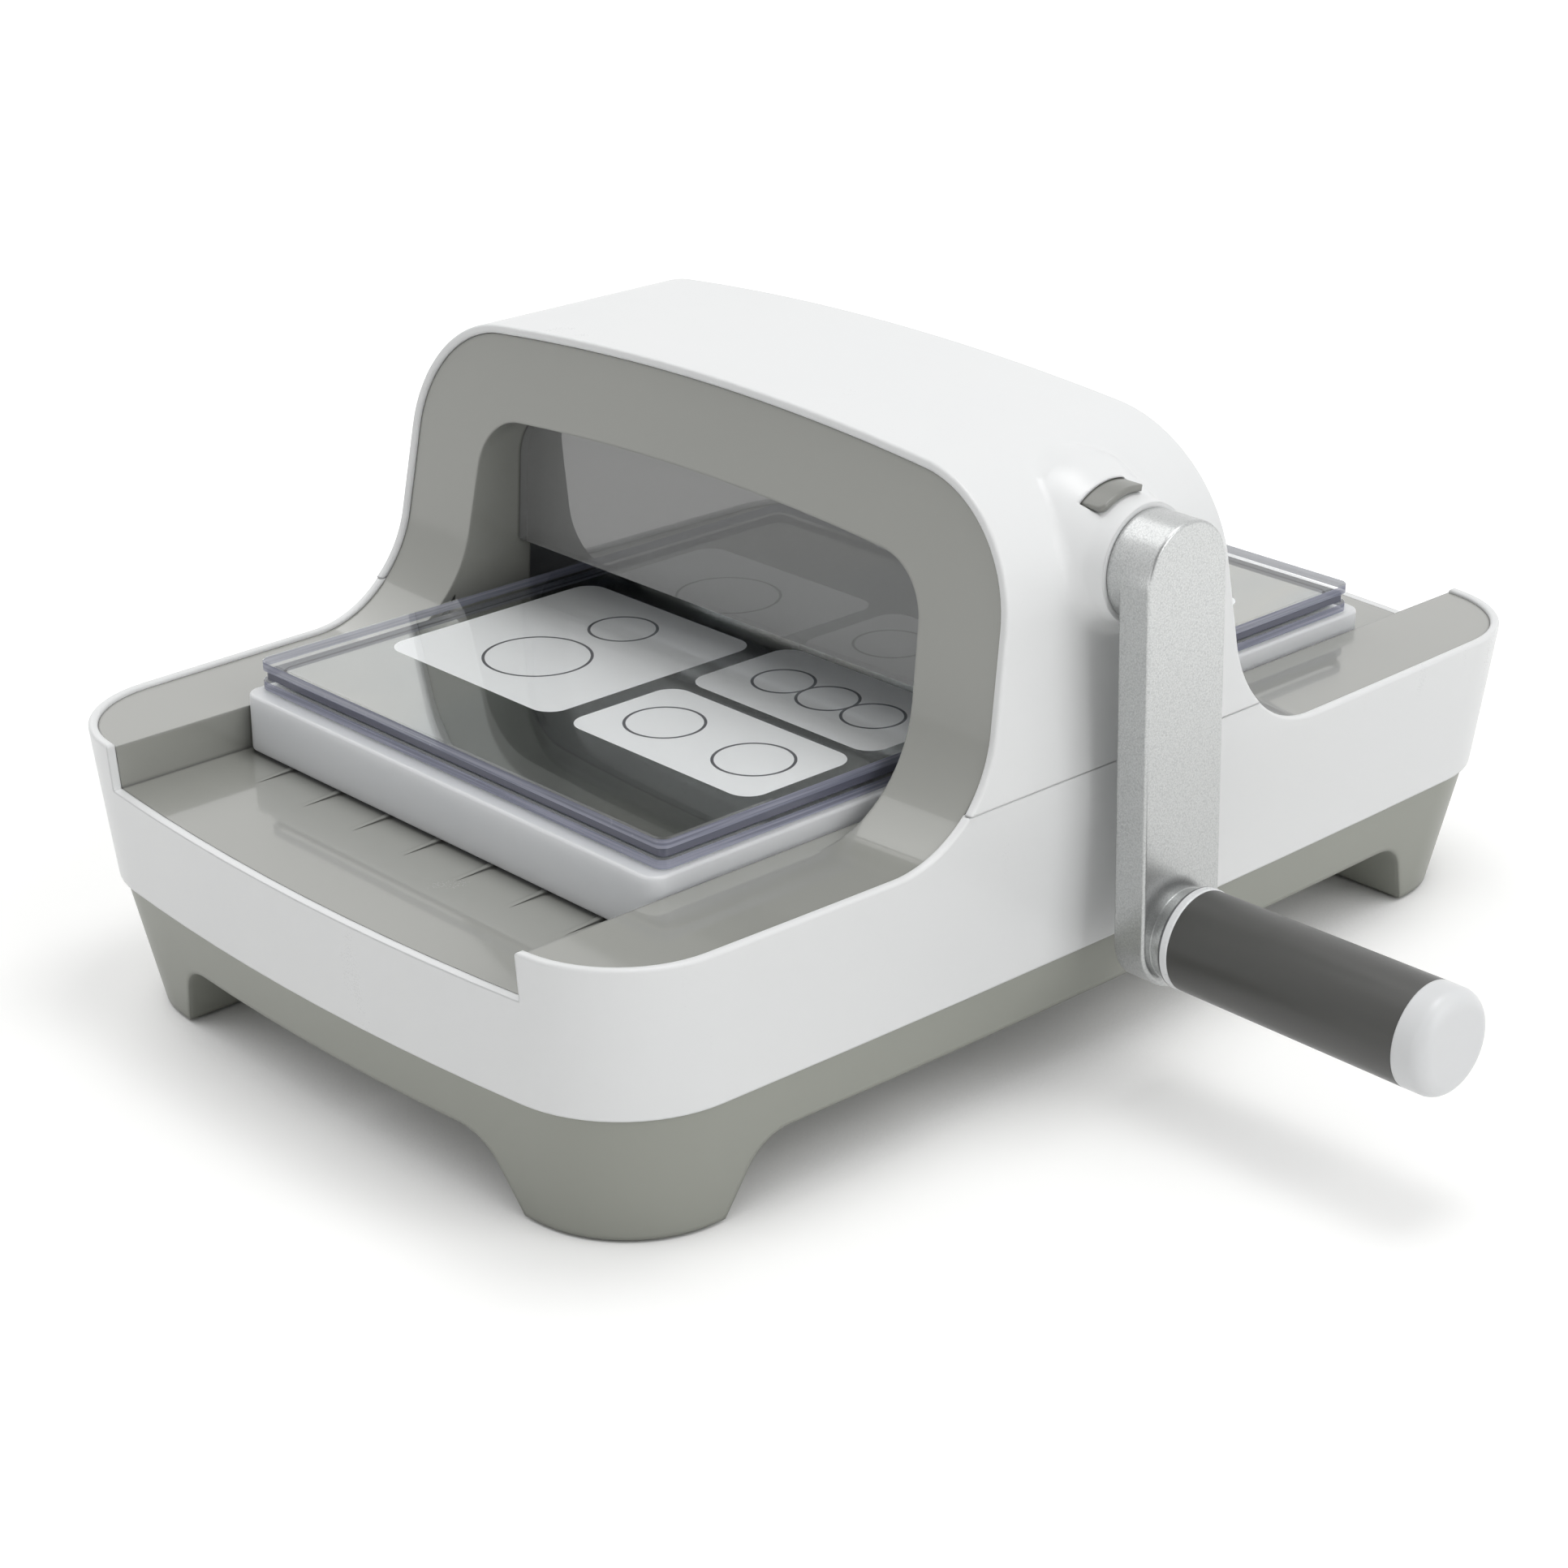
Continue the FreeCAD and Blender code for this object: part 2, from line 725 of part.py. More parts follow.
def base_screws():
    pieces = []
    up = Vector(0, 0, 1)
    for number, (x, y) in enumerate(screw_places(), start=1):
        base = Vector(x, y, size("skirt_low_z"))
        pieces.append(rod(f"base_screw_head_{number}", "screw_head_radius", "screw_head_thick", base, up))
        pieces.append(rod(f"base_screw_shank_{number}", "screw_radius", "screw_long", base, up))
    group("base_screws", pieces)


# Apron: the white band round the trays, low at both ends where the platform leaves.
def apron_shell():
    body = new_body("apron_shell")
    for inset, kind in ((0, "PartDesign::AdditiveLoft"), (size("wall"), "PartDesign::SubtractiveLoft")):
        low = new_sketch(body, "XY_Plane", "apron_low_z")
        draw(low, apron_plan(inset))
        high = new_sketch(body, "XY_Plane", "rim_z")
        draw(high, shell_plan(inset))
        loft(body, kind, low, high)
        if inset == 0:
            upper = new_sketch(body, "XY_Plane", "rim_z")
            draw(upper, shell_plan(inset))
            pad(body, upper, "apron_rise")
    upper = new_sketch(body, "XY_Plane", "rim_z")
    draw(upper, shell_plan(size("wall")))
    cut_deep(body, upper, "apron_rise", reverse=True)

    air = new_sketch(body, "YZ_Plane")
    for end in (-1, 1):
        draw(air, rounded(air_corners(end, size("rim_proud"))))
    cut_through(body, air)

    exit_way = new_sketch(body, "XZ_Plane")
    half = size("half_channel")
    draw_box(exit_way, -half, size("tray_z"), half, size("crown_z"))
    cut_through(body, exit_way)
    soften(body, "rim_soft", borders_air)


# Arch cover: a crowned band with the flared crank boss on its right side.
def arch_cover():
    body = new_body("arch_cover")
    bottom = size("parting_z") + size("parting_gap")
    spare = 5 * size("rim_soft")
    outer = new_sketch(body, "XZ_Plane")
    draw(outer, cover_steps(0, bottom - spare))
    pad(body, outer, "half_wide", double=True)

    # The boss is turned about the crank axis and hollowed together with the band.
    boss = new_sketch(body, "XZ_Plane")
    crank_z = size("crank_z")
    axis = Part.LineSegment(Vector(0, crank_z, 0), Vector(size("boss_x"), crank_z, 0))
    boss.addGeometry(axis, True)
    root = size("boss_root_radius")
    neck = size("boss_neck_radius")
    neck_x = size("boss_x") - size("boss_neck_long")
    root_x = neck_x - (root - neck) / size("boss_taper")
    draw(boss, rounded([
        (size("boss_start_x"), crank_z, 0), (size("boss_x"), crank_z, 0),
        (size("boss_x"), crank_z + size("boss_radius"), 0),
        (neck_x, crank_z + neck, size("boss_neck_round")),
        (root_x, crank_z + root, 0), (size("boss_start_x"), crank_z + root, 0)]))
    turn = body.newObject("PartDesign::Revolution", "boss_turn")
    turn.Profile = boss
    turn.ReferenceAxis = (boss, ["Axis0"])
    turn.Angle = 360
    body.Tip = turn

    def on_boss(edge):
        reach = [math.hypot(point.y, point.z - crank_z) for point in edge.discretize(7)]
        return (min(reach) > size("boss_radius") and max(reach) < root + 0.01
                and edge.BoundBox.XMin > size("boss_start_x") + 1 and edge.BoundBox.XLength > 0.1
                and not isinstance(edge.Curve, Part.Line))

    soften(body, "boss_blend", on_boss)

    inner = new_sketch(body, "XZ_Plane")
    draw(inner, cover_steps(size("wall"), bottom - 2 * spare))
    cut_through(body, inner)

    air = new_sketch(body, "YZ_Plane")
    for end in (-1, 1):
        draw(air, rounded(air_corners(end, size("rim_proud"))))
    cut_through(body, air)
    soften(body, "rim_soft", borders_air)
    trim = new_sketch(body, "XZ_Plane")
    wide = 2 * size("half_wide")
    draw_box(trim, -wide, bottom - 3 * spare, wide, bottom)
    cut_through(body, trim)

    bore = new_sketch(body, "YZ_Plane", "boss_x")
    draw_circle(bore, 0, crank_z, "boss_bore")
    cut_deep(body, bore, "half_wide")

    slot = new_sketch(body, "YZ_Plane", "boss_x")
    draw(slot, button_steps(size("button_slot_gap")))
    cut_deep(body, slot, "slot_deep")

    # Room inside the boss for the pinion and for the leaf under the button.
    room = new_sketch(body, "YZ_Plane", "room_x")
    draw_circle(room, 0, crank_z, "pinion_room")
    cut_deep(body, room, "frame_x")
    leaf_room = new_sketch(body, "YZ_Plane", "room_x")
    half_leaf = size("leaf_wide") / 2 + size("button_slot_gap")
    draw_box(
        leaf_room, -size("leaf_y") - half_leaf, size("crank_z"),
        -size("leaf_y") + half_leaf, size("leaf_tip_z") + size("button_slot_gap"))
    cut_deep(body, leaf_room, "frame_x")


def button_steps(grow):
    # A segment of a ring round the crank axis, angles from the top towards the front.
    crank_z = size("crank_z")
    inner = size("button_inner") - grow
    outer = size("button_inner") + size("button_high") + grow
    spare = grow / inner
    start = math.radians(size("button_start")) - spare
    end = start + math.radians(size("button_sweep")) + 2 * spare

    def at(radius, angle):
        return Vector(-radius * math.sin(angle), crank_z + radius * math.cos(angle), 0)

    middle = (start + end) / 2
    return [
        at(inner, start),
        (at(inner, middle), at(inner, end)),
        at(outer, end),
        (at(outer, middle), at(outer, start)),
    ]


# Decks: tray floor, ledges, sweep and fascia in one moulding. end is -1 at the front, 1 at the rear.
def deck(label, end):
    body = new_body(label)
    skin = size("skin")
    rim = size("rim_z")
    far = size("half_long") + size("tray_shift") + skin
    top = size("crown_z") + skin

    section = new_sketch(body, "YZ_Plane")
    draw(section, rounded([
        (end * far, rim, 0),
        (end * fascia_edge(rim, 0), rim, size("sweep_round")),
        (end * fascia_edge(top, 0), top, 0),
        (end * fascia_edge(top, -skin), top, 0),
        (end * fascia_edge(rim - skin, -skin), rim - skin, size("sweep_round") + skin),
        (end * far, rim - skin, 0),
    ]))
    pad(body, section, "half_wide", double=True)

    tray = new_sketch(body, "XY_Plane", "tray_low_z")
    wide = size("half_channel") + skin
    draw_box(tray, -wide, end * size("floor_end"), wide, end * far)
    pad(body, tray, "skin")

    walls = new_sketch(body, "XY_Plane", "tray_low_z")
    for side in (-1, 1):
        draw_box(walls, side * size("half_channel"), end * size("jamb_end"), side * wide, end * far)
    pad(body, walls, "channel_rise")

    sills = new_sketch(body, "XY_Plane", "rim_z")
    sill_end = fascia_edge(rim, 0) + skin
    sill_x = size("half_mouth") + skin
    for side in (-1, 1):
        draw_box(sills, side * size("half_channel"), end * size("jamb_end"), side * sill_x, end * sill_end)
    pad(body, sills, "skin", reverse=True)

    jamb = new_sketch(body, "XZ_Plane", "jamb_end", back=end > 0)
    draw(jamb, mouth_steps(-skin, rim - skin))
    pad(body, jamb, "jamb_long", reverse=end > 0)

    runner = new_sketch(body, "YZ_Plane", "runner_first_x", back=True)
    floor = size("tray_z")
    crest = floor + size("runner_high")
    start = size("runner_start") + end * size("tray_shift")
    draw(runner, rounded([
        (end * start, floor, 0),
        (end * (start - size("runner_ramp")), crest, 0),
        (end * size("floor_end"), crest, 0),
        (end * size("floor_end"), floor - skin / 2, 0),
        (end * start, floor - skin / 2, 0),
    ]))
    rib = pad(body, runner, "runner_wide")
    rib.SideType = "Symmetric"
    row = body.newObject("PartDesign::LinearPattern", label + "_runners")
    row.Originals = [rib]
    row.Direction = (origin_part(body, "X_Axis"), [""])
    bind(row, "Length", "runner_row")
    bind(row, "Occurrences", "runner_count")
    body.Tip = row

    posts = new_sketch(body, "XY_Plane", "floor_z")
    for side in (-1, 1):
        draw_circle(posts, side * size("deck_post_x"), post_y(end), "deck_post_radius")
    pad(body, posts, "post_long")
    pilots = new_sketch(body, "XY_Plane", "floor_z")
    for side in (-1, 1):
        draw_circle(pilots, side * size("deck_post_x"), post_y(end), "screw_hole")
    cut_deep(body, pilots, "screw_long", reverse=True)

    channel = new_sketch(body, "XZ_Plane")
    half = size("half_channel")
    draw_box(channel, -half, crest, half, rim + skin)
    cut_through(body, channel)

    mouth = new_sketch(body, "XZ_Plane")
    draw(mouth, mouth_steps(0, rim))
    cut_through(body, mouth)

    air = new_sketch(body, "YZ_Plane")
    draw(air, rounded(air_corners(end, 0)))
    cut_through(body, air)

    inset = size("wall") + size("seam")
    spare = 2 * size("half_long")
    low_plan = new_sketch(body, "XY_Plane", "apron_low_z")
    draw_box(low_plan, -spare, -spare, spare, spare)
    draw(low_plan, apron_plan(inset))
    rim_plan = new_sketch(body, "XY_Plane", "rim_z")
    draw_box(rim_plan, -spare, -spare, spare, spare)
    draw(rim_plan, shell_plan(inset))
    loft(body, "PartDesign::SubtractiveLoft", low_plan, rim_plan)
    top_plan = new_sketch(body, "XY_Plane", "rim_z")
    draw_box(top_plan, -spare, -spare, spare, spare)
    draw(top_plan, shell_plan(inset))
    cut_deep(body, top_plan, "crown_z", reverse=True)

    front = new_sketch(body, "XZ_Plane")
    draw_box(front, -spare, -spare, spare, spare)
    draw(front, cover_steps(inset, -size("half_wide")))
    cut_through(body, front)


# Smoked panel that hangs in each mouth and keeps fingers from the rollers.
def window(label, end):
    body = new_body(label)
    sketch = new_sketch(body, "XZ_Plane", "window_y", back=end > 0)
    draw(sketch, mouth_steps(size("seam"), size("window_low_z")))
    pad(body, sketch, "window_thick", reverse=end > 0)


def plate_body(label, height, half_wide, half_long, corner, thick):
    # A flat rectangular piece with rounded corners, centred over the trays.
    body = new_body(label)
    sketch = new_sketch(body, "XY_Plane", height)
    front = size("tray_shift") - half_long
    rear = size("tray_shift") + half_long
    draw(sketch, rounded([
        (-half_wide, front, corner), (half_wide, front, corner),
        (half_wide, rear, corner), (-half_wide, rear, corner)]))
    pad(body, sketch, thick)
    return body


def platform_stack():
    platform = plate_body(
        "platform", "platform_z", size("half_platform_wide"), size("half_platform_long"),
        size("platform_corner"), "platform_thick")
    bevel(platform, "platform_bevel", lambda edge: lies_at(edge, "Z", size("low_pad_z")))
    for label, low_z, high_z in (
            ("lower_cutting_pad", "low_pad_z", "plate_z"), ("upper_cutting_pad", "top_pad_z", "stack_top_z")):
        sheet = plate_body(
            label, low_z, size("half_pad_wide"), size("half_pad_long"), size("pad_corner"), "pad_thick")
        faces = (size(low_z), size(high_z))
        bevel(sheet, "pad_bevel", lambda edge: any(lies_at(edge, "Z", z) for z in faces))
    inset = size("plate_inset")
    plate_body(
        "base_plate", "plate_z", size("half_pad_wide") - inset, size("half_pad_long") - inset,
        size("pad_corner") - inset, "plate_thick")


# Side frames: steel plates with a bent foot, bored for the bushes.
def side_frame(label, side):
    body = new_body(label)
    left = side < 0
    outline = new_sketch(body, "YZ_Plane", "frame_x", back=left)
    half = size("half_frame")
    floor = size("floor_z")
    bend = size("frame_round")
    draw(outline, rounded([
        (-half, floor, 0), (half, floor, 0),
        (half, size("frame_top_z"), bend), (-half, size("frame_top_z"), bend)]))
    pad(body, outline, "frame_thick", reverse=left)

    foot = new_sketch(body, "XY_Plane", "floor_z")
    inner_x = size("frame_x") - size("frame_foot")
    draw_box(foot, side * inner_x, -half, side * size("frame_x"), half)
    pad(body, foot, "frame_thick")

    holes = new_sketch(body, "YZ_Plane", "frame_x", back=left)
    for z in frame_bush_heights(side):
        draw_circle(holes, 0, z, "bush_seat_radius")
    for y, z in tie_places():
        draw_circle(holes, y, z, "tie_bore")
    if left:
        for z in (size("low_idler_z"), size("top_idler_z")):
            draw_circle(holes, 0, z, "screw_hole")
    cut_deep(body, holes, "frame_thick", reverse=not left)

    pilots = new_sketch(body, "XY_Plane", "floor_z")
    flange_x = size("frame_x") - size("frame_foot") / 2
    for y in (-1, 1):
        draw_circle(pilots, side * flange_x, y * size("frame_screw_y"), "screw_hole")
    cut_deep(body, pilots, "frame_thick", reverse=True)


def frame_bush_heights(side):
    heights = [size("low_roller_z"), size("top_roller_z")]
    if side > 0:
        heights.append(size("crank_z"))
    return heights


def tie_places():
    top = [(y * size("tie_top_y"), size("tie_top_z")) for y in (-1, 1)]
    low = [(y * size("tie_low_y"), size("tie_low_z")) for y in (-1, 1)]
    return top + low


def tie_rods():
    body = new_body("tie_rods")
    sketch = new_sketch(body, "YZ_Plane")
    for y, z in tie_places():
        draw_circle(sketch, y, z, "tie_radius")
        draw_circle(sketch, y, z, "tie_bore")
    pad(body, sketch, "frame_x", double=True)


def tie_rod_screws():
    pieces = []
    for side in (-1, 1):
        outward = Vector(side, 0, 0)
        for number, (y, z) in enumerate(tie_places(), start=1):
            face = Vector(side * size("frame_out_x"), y, z)
            name = f"tie_screw_{'left' if side < 0 else 'right'}_{number}"
            pieces.append(rod(name + "_head", "screw_head_radius", "screw_head_thick", face, outward))
            pieces.append(rod(name + "_shank", "screw_radius", "tie_screw_long", face, -outward))
    group("tie_rod_screws", pieces)


def bush(label, side, height):
    # Flanged bush: the flange faces the roller, the sleeve spaces the gear off the frame.
    flange_x = side * size("flange_x")
    face_x = side * size("frame_x")
    end_x = side * (size("frame_out_x") + size("bush_proud"))
    bore = size("bush_gap_radius")
    turned(label, rounded([
        (flange_x, bore, 0), (flange_x, size("flange_radius"), 0), (face_x, size("flange_radius"), 0),
        (face_x, size("bush_radius"), 0), (end_x, size("bush_radius"), 0), (end_x, bore, 0)]), height)


def roller(label, height, right_end):
    # Steel roller with journals; the left journal carries a sync gear.
    journal = size("shaft_radius")
    barrel = size("roller_radius")
    half = size("half_barrel")
    left_end = -size("shaft_end_x")
    ease = size("end_gap")
    turned(label, rounded([
        (left_end, 0, 0), (left_end, journal, 0), (-half, journal, 0), (-half, barrel - ease, 0),
        (-half + ease, barrel, 0), (half - ease, barrel, 0), (half, barrel - ease, 0),
        (half, journal, 0), (right_end, journal, 0), (right_end, 0, 0)]), height)


def gear(label, side, height, teeth, module, bore, half_tooth=False):
    body = new_body(label)
    left = side < 0
    count = size(teeth)
    turn = math.pi / count if half_tooth else 0
    sketch = new_sketch(body, "YZ_Plane", "gear_x", back=left)
    draw(sketch, gear_steps(count, size(module), size(height), turn))
    draw_circle(sketch, 0, size(height), bore)
    pad(body, sketch, "gear_wide", reverse=left)


def idler_studs():
    pieces = []
    outward = Vector(-1, 0, 0)
    for name in ("low_idler_z", "top_idler_z"):
        z = size(name)
        face = Vector(-size("frame_out_x"), 0, z)
        head = Vector(-size("stud_head_x"), 0, z)
        pieces.append(rod(name + "_stud", "stud_radius", "stud_long", face, outward))
        pieces.append(rod(name + "_tail", "screw_radius", "frame_thick", face, -outward))
        pieces.append(rod(name + "_head", "stud_head_radius", "stud_head_thick", head, outward))
    group("idler_studs", pieces)


# Crank: shaft, arm with hub and neck, and the spindle for the grip.
def crank_shaft():
    start = size("flange_x")
    end = size("arm_out_x") - size("arm_back")
    radius = size("shaft_radius")
    turned("crank_shaft", rounded([
        (start, 0, 0), (start, radius, 0), (end, radius, 0), (end, 0, 0)]), "crank_z")


def crank_arm():
    body = new_body("crank_arm")
    top = Vector(0, size("crank_z"), 0)
    low = Vector(size("grip_y"), size("grip_z"), 0)
    hub = size("hub_radius")
    small = size("arm_low_radius")
    down = (low - top) / size("arm_reach")
    sideways = Vector(-down.y, down.x, 0)
    widen = math.asin((hub - small) / size("arm_reach"))
    right = sideways * math.cos(widen) + down * math.sin(widen)
    left = sideways * -math.cos(widen) + down * math.sin(widen)

    outline = new_sketch(body, "YZ_Plane", "arm_x")
    draw(outline, [
        low + left * small,
        (low + down * small, low + right * small),
        top + right * hub,
        (top - down * hub, top + left * hub),
    ])
    pad(body, outline, "arm_thick")
    soften(body, "arm_soft", lambda edge: lies_at(edge, "X", size("arm_out_x")))

    land = new_sketch(body, "YZ_Plane", "hub_x")
    draw_circle(land, 0, size("crank_z"), "hub_radius")
    pad(body, land, "hub_land")

    neck = new_sketch(body, "YZ_Plane", "arm_out_x")
    draw_circle(neck, size("grip_y"), size("grip_z"), "neck_radius")
    pad(body, neck, "neck_long")

    bore = new_sketch(body, "YZ_Plane", "hub_x")
    draw_circle(bore, 0, size("crank_z"), "shaft_seat_radius")
    cut_deep(body, bore, "hub_depth", reverse=True)

    hole = new_sketch(body, "YZ_Plane", "arm_x")
    draw_circle(hole, size("grip_y"), size("grip_z"), "spindle_seat_radius")
    cut_deep(body, hole, "crown_z", reverse=True)


def grip_pieces():
    spindle = size("spindle_radius")
    bore = spindle + size("run_gap")
    core = size("core_radius")
    collar_x = size("collar_x")
    grip_x = size("grip_x")
    cap_x = size("cap_x")
    head_x = cap_x - size("cap_plug_long")
    head = size("spindle_head_radius")
    head_end = head_x + size("spindle_head_long")
    turned("grip_spindle", rounded([
        (size("arm_x"), 0, 0), (size("arm_x"), spindle, 0), (head_x, spindle, 0),
        (head_x, head, 0), (head_end, head, 0), (head_end, 0, 0)]), "grip_z", "grip_shift_y")

    collar = size("collar_radius")
    core_end = head_x - size("end_gap")
    collar_round = size("collar_long") / 3
    turned("grip_core", rounded([
        (collar_x, bore, 0), (collar_x, collar, collar_round), (grip_x, collar, collar_round / 2),
        (grip_x, core, 0), (core_end, core, 0), (core_end, bore, 0)]), "grip_z", "grip_shift_y")

    sleeve_bore = core + size("seat_gap")
    turned("grip_sleeve", rounded([
        (grip_x, sleeve_bore, 0), (grip_x, size("grip_start_radius"), 0),
        (cap_x, size("grip_end_radius"), 0), (cap_x, sleeve_bore, 0)]), "grip_z", "grip_shift_y")

    end_x = size("cap_out_x")
    plug = size("cap_plug_radius")
    plug_x = core_end + size("end_gap")
    turned("grip_end_cap", rounded([
        (cap_x, 0, 0), (cap_x, plug, 0), (plug_x, plug, 0), (plug_x, core, 0), (cap_x, core, 0),
        (cap_x, size("grip_end_radius"), 0),
        (end_x, size("grip_end_radius"), size("cap_round")), (end_x, 0, 0)]), "grip_z", "grip_shift_y")


def release_button():
    body = new_body("release_button")
    sketch = new_sketch(body, "YZ_Plane", "button_tail_x")
    draw(sketch, button_steps(0))
    pad(body, sketch, "button_long")
    end_x = size("button_end_x")

    def at_front(edge):
        return lies_at(edge, "X", end_x) and isinstance(edge.Curve, Part.Line) and edge.BoundBox.YMax < 0

    soften(body, "button_round", at_front)
    soften(body, "button_soft", lambda edge: lies_at(edge, "X", end_x) and not at_front(edge))


def button_spring():
    # A leaf that stands on the frame's face and leans out to the button's tail.
    body = new_body("button_spring")
    low_x = size("frame_out_x")
    high_x = size("button_tail_x")
    thick = size("leaf_thick")
    foot_z = size("leaf_low_z")
    bend_z = size("leaf_bend_z")
    tip_z = size("leaf_tip_z")
    sketch = new_sketch(body, "XZ_Plane", "leaf_y")
    draw(sketch, rounded([
        (low_x, foot_z, 0), (low_x + thick, foot_z, 0), (low_x + thick, bend_z - thick, 0),
        (high_x, tip_z - thick, 0), (high_x, tip_z, 0), (low_x, bend_z, 0)]))
    pad(body, sketch, "leaf_wide").SideType = "Symmetric"


def more_places():
    # Lengths that single features need.
    places = {}
    places["apron_rise"] = size("parting_z") - size("rim_z")
    places["tray_low_z"] = size("tray_z") - size("skin")
    places["channel_rise"] = size("rim_z") - places["tray_low_z"]
    places["jamb_long"] = fascia_edge(size("rim_z"), 0) - size("jamb_end")
    places["runner_row"] = size("runner_pitch") * (size("runner_count") - 1)
    places["runner_first_x"] = places["runner_row"] / 2
    places["post_long"] = places["tray_low_z"] - size("floor_z")
    places["boss_bore"] = size("boss_bush_radius") + size("seat_gap")
    places["stud_head_x"] = size("gear_out_x") + size("end_gap")
    places["stud_long"] = places["stud_head_x"] - size("frame_out_x")
    places["hub_depth"] = size("hub_land") + size("arm_thick") - size("arm_back")
    places["spindle_seat_radius"] = size("spindle_radius") + size("seat_gap")
    places["button_long"] = size("button_end_x") - size("button_tail_x")
    leaf_radius = size("button_inner") + size("button_high") / 2
    leaf_turn = math.radians(size("leaf_angle"))
    places["leaf_y"] = leaf_radius * math.sin(leaf_turn)
    places["leaf_tip_z"] = size("crank_z") + leaf_radius * math.cos(leaf_turn)
    places["room_x"] = size("gear_out_x") + 2 * size("end_gap")
    pinion_tip = (size("pinion_teeth") / 2 + size("tooth_rise")) * size("drive_module")
    places["pinion_room"] = pinion_tip + 3 * size("end_gap")
    places["slot_deep"] = size("boss_x") - size("frame_out_x")
    page = sheets["Places"]
    last = len(work_out_places())
    for row, (alias, value) in enumerate(places.items(), start=last + 1):
        page.set(f"A{row}", alias)
        page.set(f"B{row}", str(value))
        page.setAlias(f"B{row}", alias)
    doc.recompute()


def build():
    base_shell()
    foot_pads()
    base_screws()
    apron_shell()
    arch_cover()
    for place, end in (("front", -1), ("rear", 1)):
        deck(place + "_deck", end)
        window(place + "_window", end)
    for place, side in (("left", -1), ("right", 1)):
        side_frame(place + "_side_frame", side)
        bush(f"upper_{place}_bush", side, "top_roller_z")
        bush(f"lower_{place}_bush", side, "low_roller_z")
    bush("crank_bush", 1, "crank_z")
    tie_rods()
    tie_rod_screws()

    bush_end = size("frame_out_x") + size("bush_proud")
    roller("upper_roller", "top_roller_z", size("shaft_end_x"))
    roller("lower_roller", "low_roller_z", bush_end)
    gear("upper_sync_gear", -1, "top_roller_z", "sync_teeth", "sync_module", "shaft_seat_radius")
    gear("upper_idler_gear", -1, "top_idler_z", "sync_teeth", "sync_module", "stud_gap_radius")
    gear("lower_idler_gear", -1, "low_idler_z", "sync_teeth", "sync_module", "stud_gap_radius")
    gear("lower_sync_gear", -1, "low_roller_z", "sync_teeth", "sync_module", "shaft_seat_radius")
    idler_studs()
    gear("drive_gear", 1, "top_roller_z", "drive_teeth", "drive_module", "shaft_seat_radius")
    gear("crank_pinion", 1, "crank_z", "pinion_teeth", "drive_module", "shaft_seat_radius", half_tooth=True)

    boss_out = size("boss_x")
    boss_in = boss_out - size("boss_bush_long")
    turned("boss_bush", rounded([
        (boss_in, size("bush_gap_radius"), 0), (boss_in, size("boss_bush_radius"), 0),
        (boss_out, size("boss_bush_radius"), 0), (boss_out, size("bush_gap_radius"), 0)]), "crank_z")
    crank_shaft()
    crank_arm()
    grip_pieces()
    release_button()
    button_spring()
    platform_stack()
    doc.recompute()


def check_and_write():
    # Nothing is written unless every object and every piece came out whole.
    for thing in doc.Objects:
        bad = [word for word in ("Invalid", "Error") if word in thing.State]
        if bad:
            raise RuntimeError(f"{thing.Label} is {bad}")
    for node in nodes:
        shape = node.Shape
        if shape.isNull() or not shape.isValid() or not shape.Solids:
            raise RuntimeError(f"{node.Label} has no valid solid")
    for node in nodes:
        node.Shape.exportStep(os.path.join("parts", node.Label + ".step"))
        box = node.Shape.optimalBoundingBox()
        print(f"{node.Label}: {len(node.Shape.Solids)} solids, {node.Shape.Volume:.0f} mm3, "
              f"{box.XLength:.1f} x {box.YLength:.1f} x {box.ZLength:.1f} mm, from {box.ZMin:.1f} up")


more_places()
build()
check_and_write()
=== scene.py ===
import json
import math

import bmesh
import bpy
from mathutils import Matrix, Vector


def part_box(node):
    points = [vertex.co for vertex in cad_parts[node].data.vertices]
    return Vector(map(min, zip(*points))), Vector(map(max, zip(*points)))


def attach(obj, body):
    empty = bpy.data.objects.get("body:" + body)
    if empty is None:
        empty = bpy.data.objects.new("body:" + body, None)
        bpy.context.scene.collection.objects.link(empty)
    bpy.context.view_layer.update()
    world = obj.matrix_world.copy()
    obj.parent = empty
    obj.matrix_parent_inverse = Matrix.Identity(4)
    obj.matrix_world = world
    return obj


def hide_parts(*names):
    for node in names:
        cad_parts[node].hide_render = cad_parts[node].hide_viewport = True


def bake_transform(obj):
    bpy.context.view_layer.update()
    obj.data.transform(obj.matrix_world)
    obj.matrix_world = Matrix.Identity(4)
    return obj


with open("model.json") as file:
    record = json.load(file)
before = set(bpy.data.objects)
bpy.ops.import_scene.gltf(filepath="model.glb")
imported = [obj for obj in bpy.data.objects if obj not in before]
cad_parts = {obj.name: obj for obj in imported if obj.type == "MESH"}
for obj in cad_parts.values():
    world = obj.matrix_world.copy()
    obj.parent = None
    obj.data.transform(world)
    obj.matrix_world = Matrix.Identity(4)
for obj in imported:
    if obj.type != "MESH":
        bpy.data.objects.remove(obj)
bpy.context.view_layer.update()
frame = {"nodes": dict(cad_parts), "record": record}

nodes = frame["nodes"]
scene = bpy.context.scene
bodyOf = {node: body for body, members in frame["record"]["behaviour"]["bodies"].items() for node in members}
print("frame loaded:", len(nodes), "nodes")

# shared limits: lengths in metres, angles in degrees
meshLimits = {"merge": 2e-6, "slight": 1e-6, "sharpOver": 32.0, "turnedSharpOver": 40.0}
samples = {"edge": 6, "creaseShade": 8, "floor": 6}


